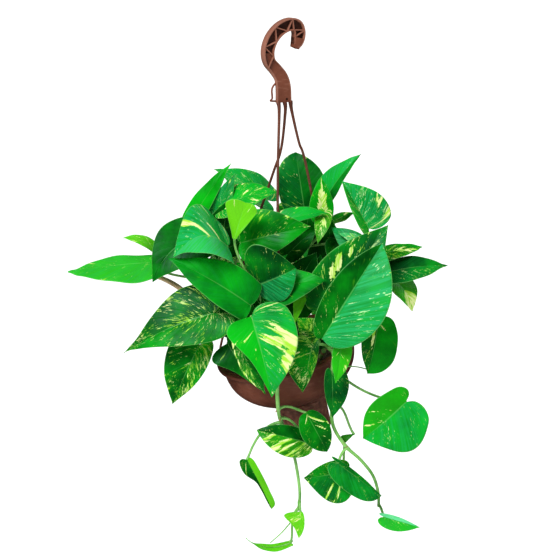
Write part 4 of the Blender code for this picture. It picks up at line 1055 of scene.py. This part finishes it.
class Blade:
    """The surface of one leaf, worked out from its table row."""

    def __init__(self, leaf, number):
        self.leaf = leaf
        self.number = number
        self.base, self.along, self.across, self.face = leaf_axes(leaf)
        self.length = (mm(leaf.tip) - self.base).length
        self.halves, self.fold, self.lobe = both(leaf.halves), both(leaf.fold), both(leaf.lobe)
        colours = (leaf.cream, leaf.fleck, leaf.tone, leaf.lime, leaf.painted_sheen)
        self.colours = [both(colour) for colour in colours]
        self.outlines = [[Vector(point) for point in half] for half in leaf.outlines]
        self.rng = random.Random(number)
        self.phases = [self.rng.uniform(0, 2 * math.pi) for _ in range(4)]
        self.size = min(self.length, 0.1) / 0.1

    def relief(self, row, side, forward):
        """How far the surface stands off its form: midrib, pillows between veins, wavy rim."""
        share = abs(side)
        vein = vein_at(row, side)
        inside = share_between(0.0, 0.12, row) * share_between(1.0, 0.88, row)
        groove = -0.45 * bump_at(share, 0, 0.035) * (1 - 0.6 * row)
        pillow = abs(math.sin(math.pi * VEINS * vein + (0.35 if side > 0 else 0))) ** 0.6 - 0.6
        quilt = 0.42 * pillow * share_between(0.02, 0.2, share) * share_between(1, 0.75, share) * inside
        phase = self.phases[side > 0]
        turn = 2 * math.pi * row
        rim = math.sin(turn * 2.3 + phase) + 0.5 * math.sin(turn * 4.7 + phase * 2)
        faded = share**2.2 * share_between(0.05, 0.3, row) * share_between(1, 0.85, row)
        wavy = 1.3 * rim * faded
        broad = 0.9 * math.sin(3.1 * forward + 2.2 * side + self.phases[2]) * share
        return (groove + quilt + wavy + broad) * self.size * 0.001

    def point(self, row, side, off=0.0):
        """A point of the blade: row runs 0 to 1 from notch to tip, side -1 to 1 across it."""
        leaf, share, second = self.leaf, abs(side), side > 0
        half = self.halves[second] * 0.001
        edge = spline_at(self.outlines[second], row)
        reach = edge.x * self.lobe[second] if edge.x < 0 else edge.x
        rib = row**1.9
        forward = rib + (reach - rib) * share
        out = edge.y * share * half * (1 - leaf.point * max(edge.x, 0) ** 1.5)
        fold = math.radians(self.fold[second])
        rise = self.length * (4 * forward * (1 - forward) if forward > 0 else 2 * forward)
        lift = leaf.arch * rise + out * math.sin(fold) + EDGE_CURL * half * (edge.y * share) ** 2
        lift += self.relief(row, side, forward) + off
        sideways = out * math.cos(fold) * (1 if second else -1) + leaf.bow * rise
        ahead = self.base + self.along * forward * self.length
        return ahead + self.across * sideways + self.face * lift

    def look(self, row, side):
        """(cream, fleck, tone with its painted shade, lime, painted sheen) at a point of the blade."""
        blend = share_between(-0.05, 0.05, side)
        cream, *others = (a + (b - a) * blend for a, b in self.colours)
        for patch_side, patch_row, half_side, half_row, strength in self.leaf.patches:
            off = vein_at(row, side) - vein_at(patch_row, patch_side)
            cream += strength * bump_at(side, patch_side, half_side) * bump_at(off, 0, half_row)
        return cream, *others


def keep(mesh, name, rows):
    """Stores three numbers for each point of the mesh, for its finish to read."""
    stored = mesh.attributes.new(name, "FLOAT_VECTOR", "POINT")
    stored.data.foreach_set("vector", [number for row in rows for number in row])


def build_blade(leaf, number, finishes, nodes):
    blade = Blade(leaf, number)
    deselect()
    bpy.ops.mesh.primitive_grid_add(x_subdivisions=BLADE_COLUMNS, y_subdivisions=BLADE_ROWS, size=2)
    piece = bpy.context.object
    piece.name = f"blade_{leaf.name}"
    mesh = piece.data
    seed = blade.rng.uniform(0, 40)
    spots = [(vertex.co.x, (vertex.co.y + 1) / 2) for vertex in mesh.vertices]
    keep(mesh, "place", [(side, row, seed) for side, row in spots])
    looks = [blade.look(row, side) for side, row in spots]
    keep(mesh, "look", [look[:3] for look in looks])
    # Young-growth lime and the painted sheen, for the finish to read.
    keep(mesh, "lime_and_sheen", [(*look[3:], 0.0) for look in looks])
    for vertex, (side, row) in zip(mesh.vertices, spots):
        vertex.co = blade.point(row, side)
    edit(piece)
    bpy.ops.mesh.remove_doubles(threshold=1e-6)
    leave_edit()
    thick = piece.modifiers.new("thickness", "SOLIDIFY")
    thick.thickness = BLADE_THICKNESS * 0.001
    thick.offset = 0
    thick.material_offset = 1
    apply_modifiers(piece)
    mesh.shade_smooth()
    under = [polygon.material_index for polygon in mesh.polygons]
    dress(piece, "leaf_green", *finishes, nodes=nodes)
    mesh.polygons.foreach_set("material_index", under)
    return piece


def mark(piece, name, values):
    """Stores a number for each point of a part, or one for all of them, for its finish to read."""
    if isinstance(values, float):
        values = [values] * len(piece.data.vertices)
    piece.data.attributes.new(name, "FLOAT", "POINT").data.foreach_set("value", values)


def stalk_points(leaf, stem):
    """Up from the stem, and to the notch of the leaf from behind."""
    place = leaf.along * (len(stem) - 1)
    low = min(int(place), len(stem) - 2)
    root = stem[low].lerp(stem[low + 1], place - low)
    base, _, _, face = leaf_axes(leaf)
    arrive = (face * 0.8 + (base - root).normalized() * 0.7).normalized()
    end = base - arrive * BLADE_GAP * 0.001
    reach = (end - root).length * PETIOLE_REACH
    grow = ((end - root).normalized() + Vector((0, 0, 0.8))).normalized()
    first = root + grow * reach + mm(leaf.steer)
    second = end - arrive * reach + mm(leaf.steer) * 0.5
    points = []
    for step in range(PETIOLE_STEPS + 1):
        t = step / PETIOLE_STEPS
        u = 1 - t
        points.append(root * u**3 + first * 3 * t * u * u + second * 3 * t * t * u + end * t**3)
    return points


def build_petiole(leaf, number, stem):
    """The leaf stalk, which goes on as the rib under the blade."""
    points = stalk_points(leaf, stem)
    blade = Blade(leaf, number)
    rib = [blade.point(row, 0, -0.0006) for row in (0.16, 0.3, 0.42, 0.54, 0.66, 0.76)]
    path = smooth_curve(points[:-1] + [blade.point(0.03, 0, -0.0009)] + rib, 2)
    notch, last = 2 * (len(points) - 1), len(path) - 1
    radii = []
    for i in range(notch + 1):
        sheath = 0.75 * bump_at(i / notch, 0, 0.10) + 0.22 * bump_at(i / notch, 1, 0.06)
        radii.append((PETIOLE_RADIUS - 0.25 * i / notch + sheath) * 0.001)
    for i in range(notch + 1, last + 1):
        radii.append((0.22 + 0.85 * (1 - (i - notch) / (last - notch))) * 0.001)
    stalk = tube("stalk", path, radii, 12, 0.22)
    mark(stalk, "old", [0.35 * bump_at(i, 0, 3) for i in range(len(path)) for _ in range(12)])
    return stalk


def build_stem(stem, joints):
    """The bare stem, swollen and woody at its joints."""
    radii, old = [], []
    for i in range(len(stem)):
        t = i / (len(stem) - 1)
        ring = max([bump_at(t, joint, 0.010) for joint in joints])
        radii.append((STEM_RADIUS + (STEM_TIP_RADIUS - STEM_RADIUS) * t + 0.45 * ring) * 0.001)
        scar = max([bump_at(t, joint - 0.012, 0.006) for joint in joints])
        old.append(0.75 * scar + 0.5 * bump_at(t, 0, 0.12))
    piece = tube("stem", stem, radii, STEM_SIDES)
    mark(piece, "old", [value for value in old for _ in range(STEM_SIDES)])
    return piece


def build_nub(place, rng):
    """A short brown air root."""
    out = Vector((rng.uniform(-1, 1), rng.uniform(-1, 1), -0.5)).normalized()
    line = [place + (out - Vector((0, 0, 0.2))) * 0.001 * reach for reach in (1.2, 2.6, 3.8, 4.8)]
    nub = tube("nub", line, [0.0011, 0.0010, 0.0007, 0.0003], 8)
    mark(nub, "old", 1.0)
    return nub


def build_vine(vine, numbered_leaves, finish):
    """The stem with a ring and a root nub at each joint, and the stalk of every leaf on it."""
    stem, coarse = (smooth_curve([mm(point) for point in vine.points], steps) for steps in (12, 2))
    grown = [(number, leaf) for number, leaf in numbered_leaves if leaf.vine == vine.name]
    parts = [build_stem(stem, [leaf.along for _, leaf in grown])]
    rng = random.Random(len(stem))
    for number, leaf in grown:
        joint = stem[min(int(leaf.along * (len(stem) - 1)), len(stem) - 1)]
        parts += [build_petiole(leaf, number, coarse), build_nub(joint, rng)]
    piece = join(vine.name.replace("vine", "stem"), parts)
    return dress(piece, "stalk_green", finish, nodes=[vine.name], smooth=60)


def build_dried_stalks(finish):
    """A dried sheath at the far left, and two thin bare stalks."""
    pieces = []
    for age, points in DRIED_STALKS:
        path = smooth_curve([mm(point[:3]) for point in points], 4)
        widths = smooth_curve([Vector((point[3], 0, 0)) for point in points], 4)
        stalk = tube("stalk", path, [width.x * 0.001 for width in widths], 12, 0.35)
        mark(stalk, "old", age)
        pieces.append(stalk)
    return dress(join("dried_stalks", pieces), "stalk_green", finish, smooth=60)


# ---------------------------------------------------------------- studio
def build_stage():
    """A pale floor under the hanging plant, and an even pale surrounding."""
    deselect()
    bpy.ops.mesh.primitive_plane_add(size=160, location=(0, 60, -FLOOR_BELOW_HOOK))
    floor = bpy.context.object
    floor.name = "studio_floor"
    settle(floor)
    floor.data.materials.append(floor_finish())
    floor.visible_glossy = False
    world = bpy.data.worlds.new("soft_surround")
    world.use_nodes = True
    sky = world.node_tree.nodes["Background"]
    sky.inputs["Color"].default_value = SURROUND
    sky.inputs["Strength"].default_value = SURROUND_STRENGTH
    world.cycles_visibility.glossy = False
    bpy.context.scene.world = world
    bpy.context.scene.view_settings.view_transform = "Standard"


def add_light(name, toward, strength, spread, colour):
    """A wide soft light from far off, shining along the direction away from toward."""
    deselect()
    bpy.ops.object.light_add(type="SUN", location=Vector(toward) * 3)
    light = bpy.context.object
    light.name = name
    light.rotation_euler = Vector(toward).to_track_quat("Z", "Y").to_euler()
    light.data.angle = math.radians(spread)
    light.data.energy = strength
    light.data.color = colour


def add_camera():
    deselect()
    bpy.ops.object.camera_add(location=CAMERA_PLACE, rotation=(CAMERA_PITCH, 0, 0))
    camera = bpy.context.object
    camera.name = "view"
    camera.data.lens = CAMERA_LENS
    camera.data.sensor_width = 36
    bpy.context.scene.camera = camera


def main():
    add_camera()
    plastics = {name: plastic_finish(name, *colours) for name, colours in PLASTICS.items()}
    leaf_sides = (leaf_finish("leaf_upper_side", False), leaf_finish("leaf_underside", True))
    build_bowl(plastics["bowl"])
    build_drip_cup(plastics["cup"])
    build_soil(soil_finish())
    build_hanger(plastics["hook"], plastics["strand"])
    numbered = list(enumerate(LEAVES + SMALL_LEAVES))
    for number, leaf in numbered:
        build_blade(leaf, number, leaf_sides, [f"leaf_{leaf.name}"] if number < len(LEAVES) else [])
    stalk = stem_finish()
    for vine in VINES:
        build_vine(vine, numbered, stalk)
    build_dried_stalks(stalk)
    build_stage()
    for light in LIGHTS:
        add_light(*light)


main()
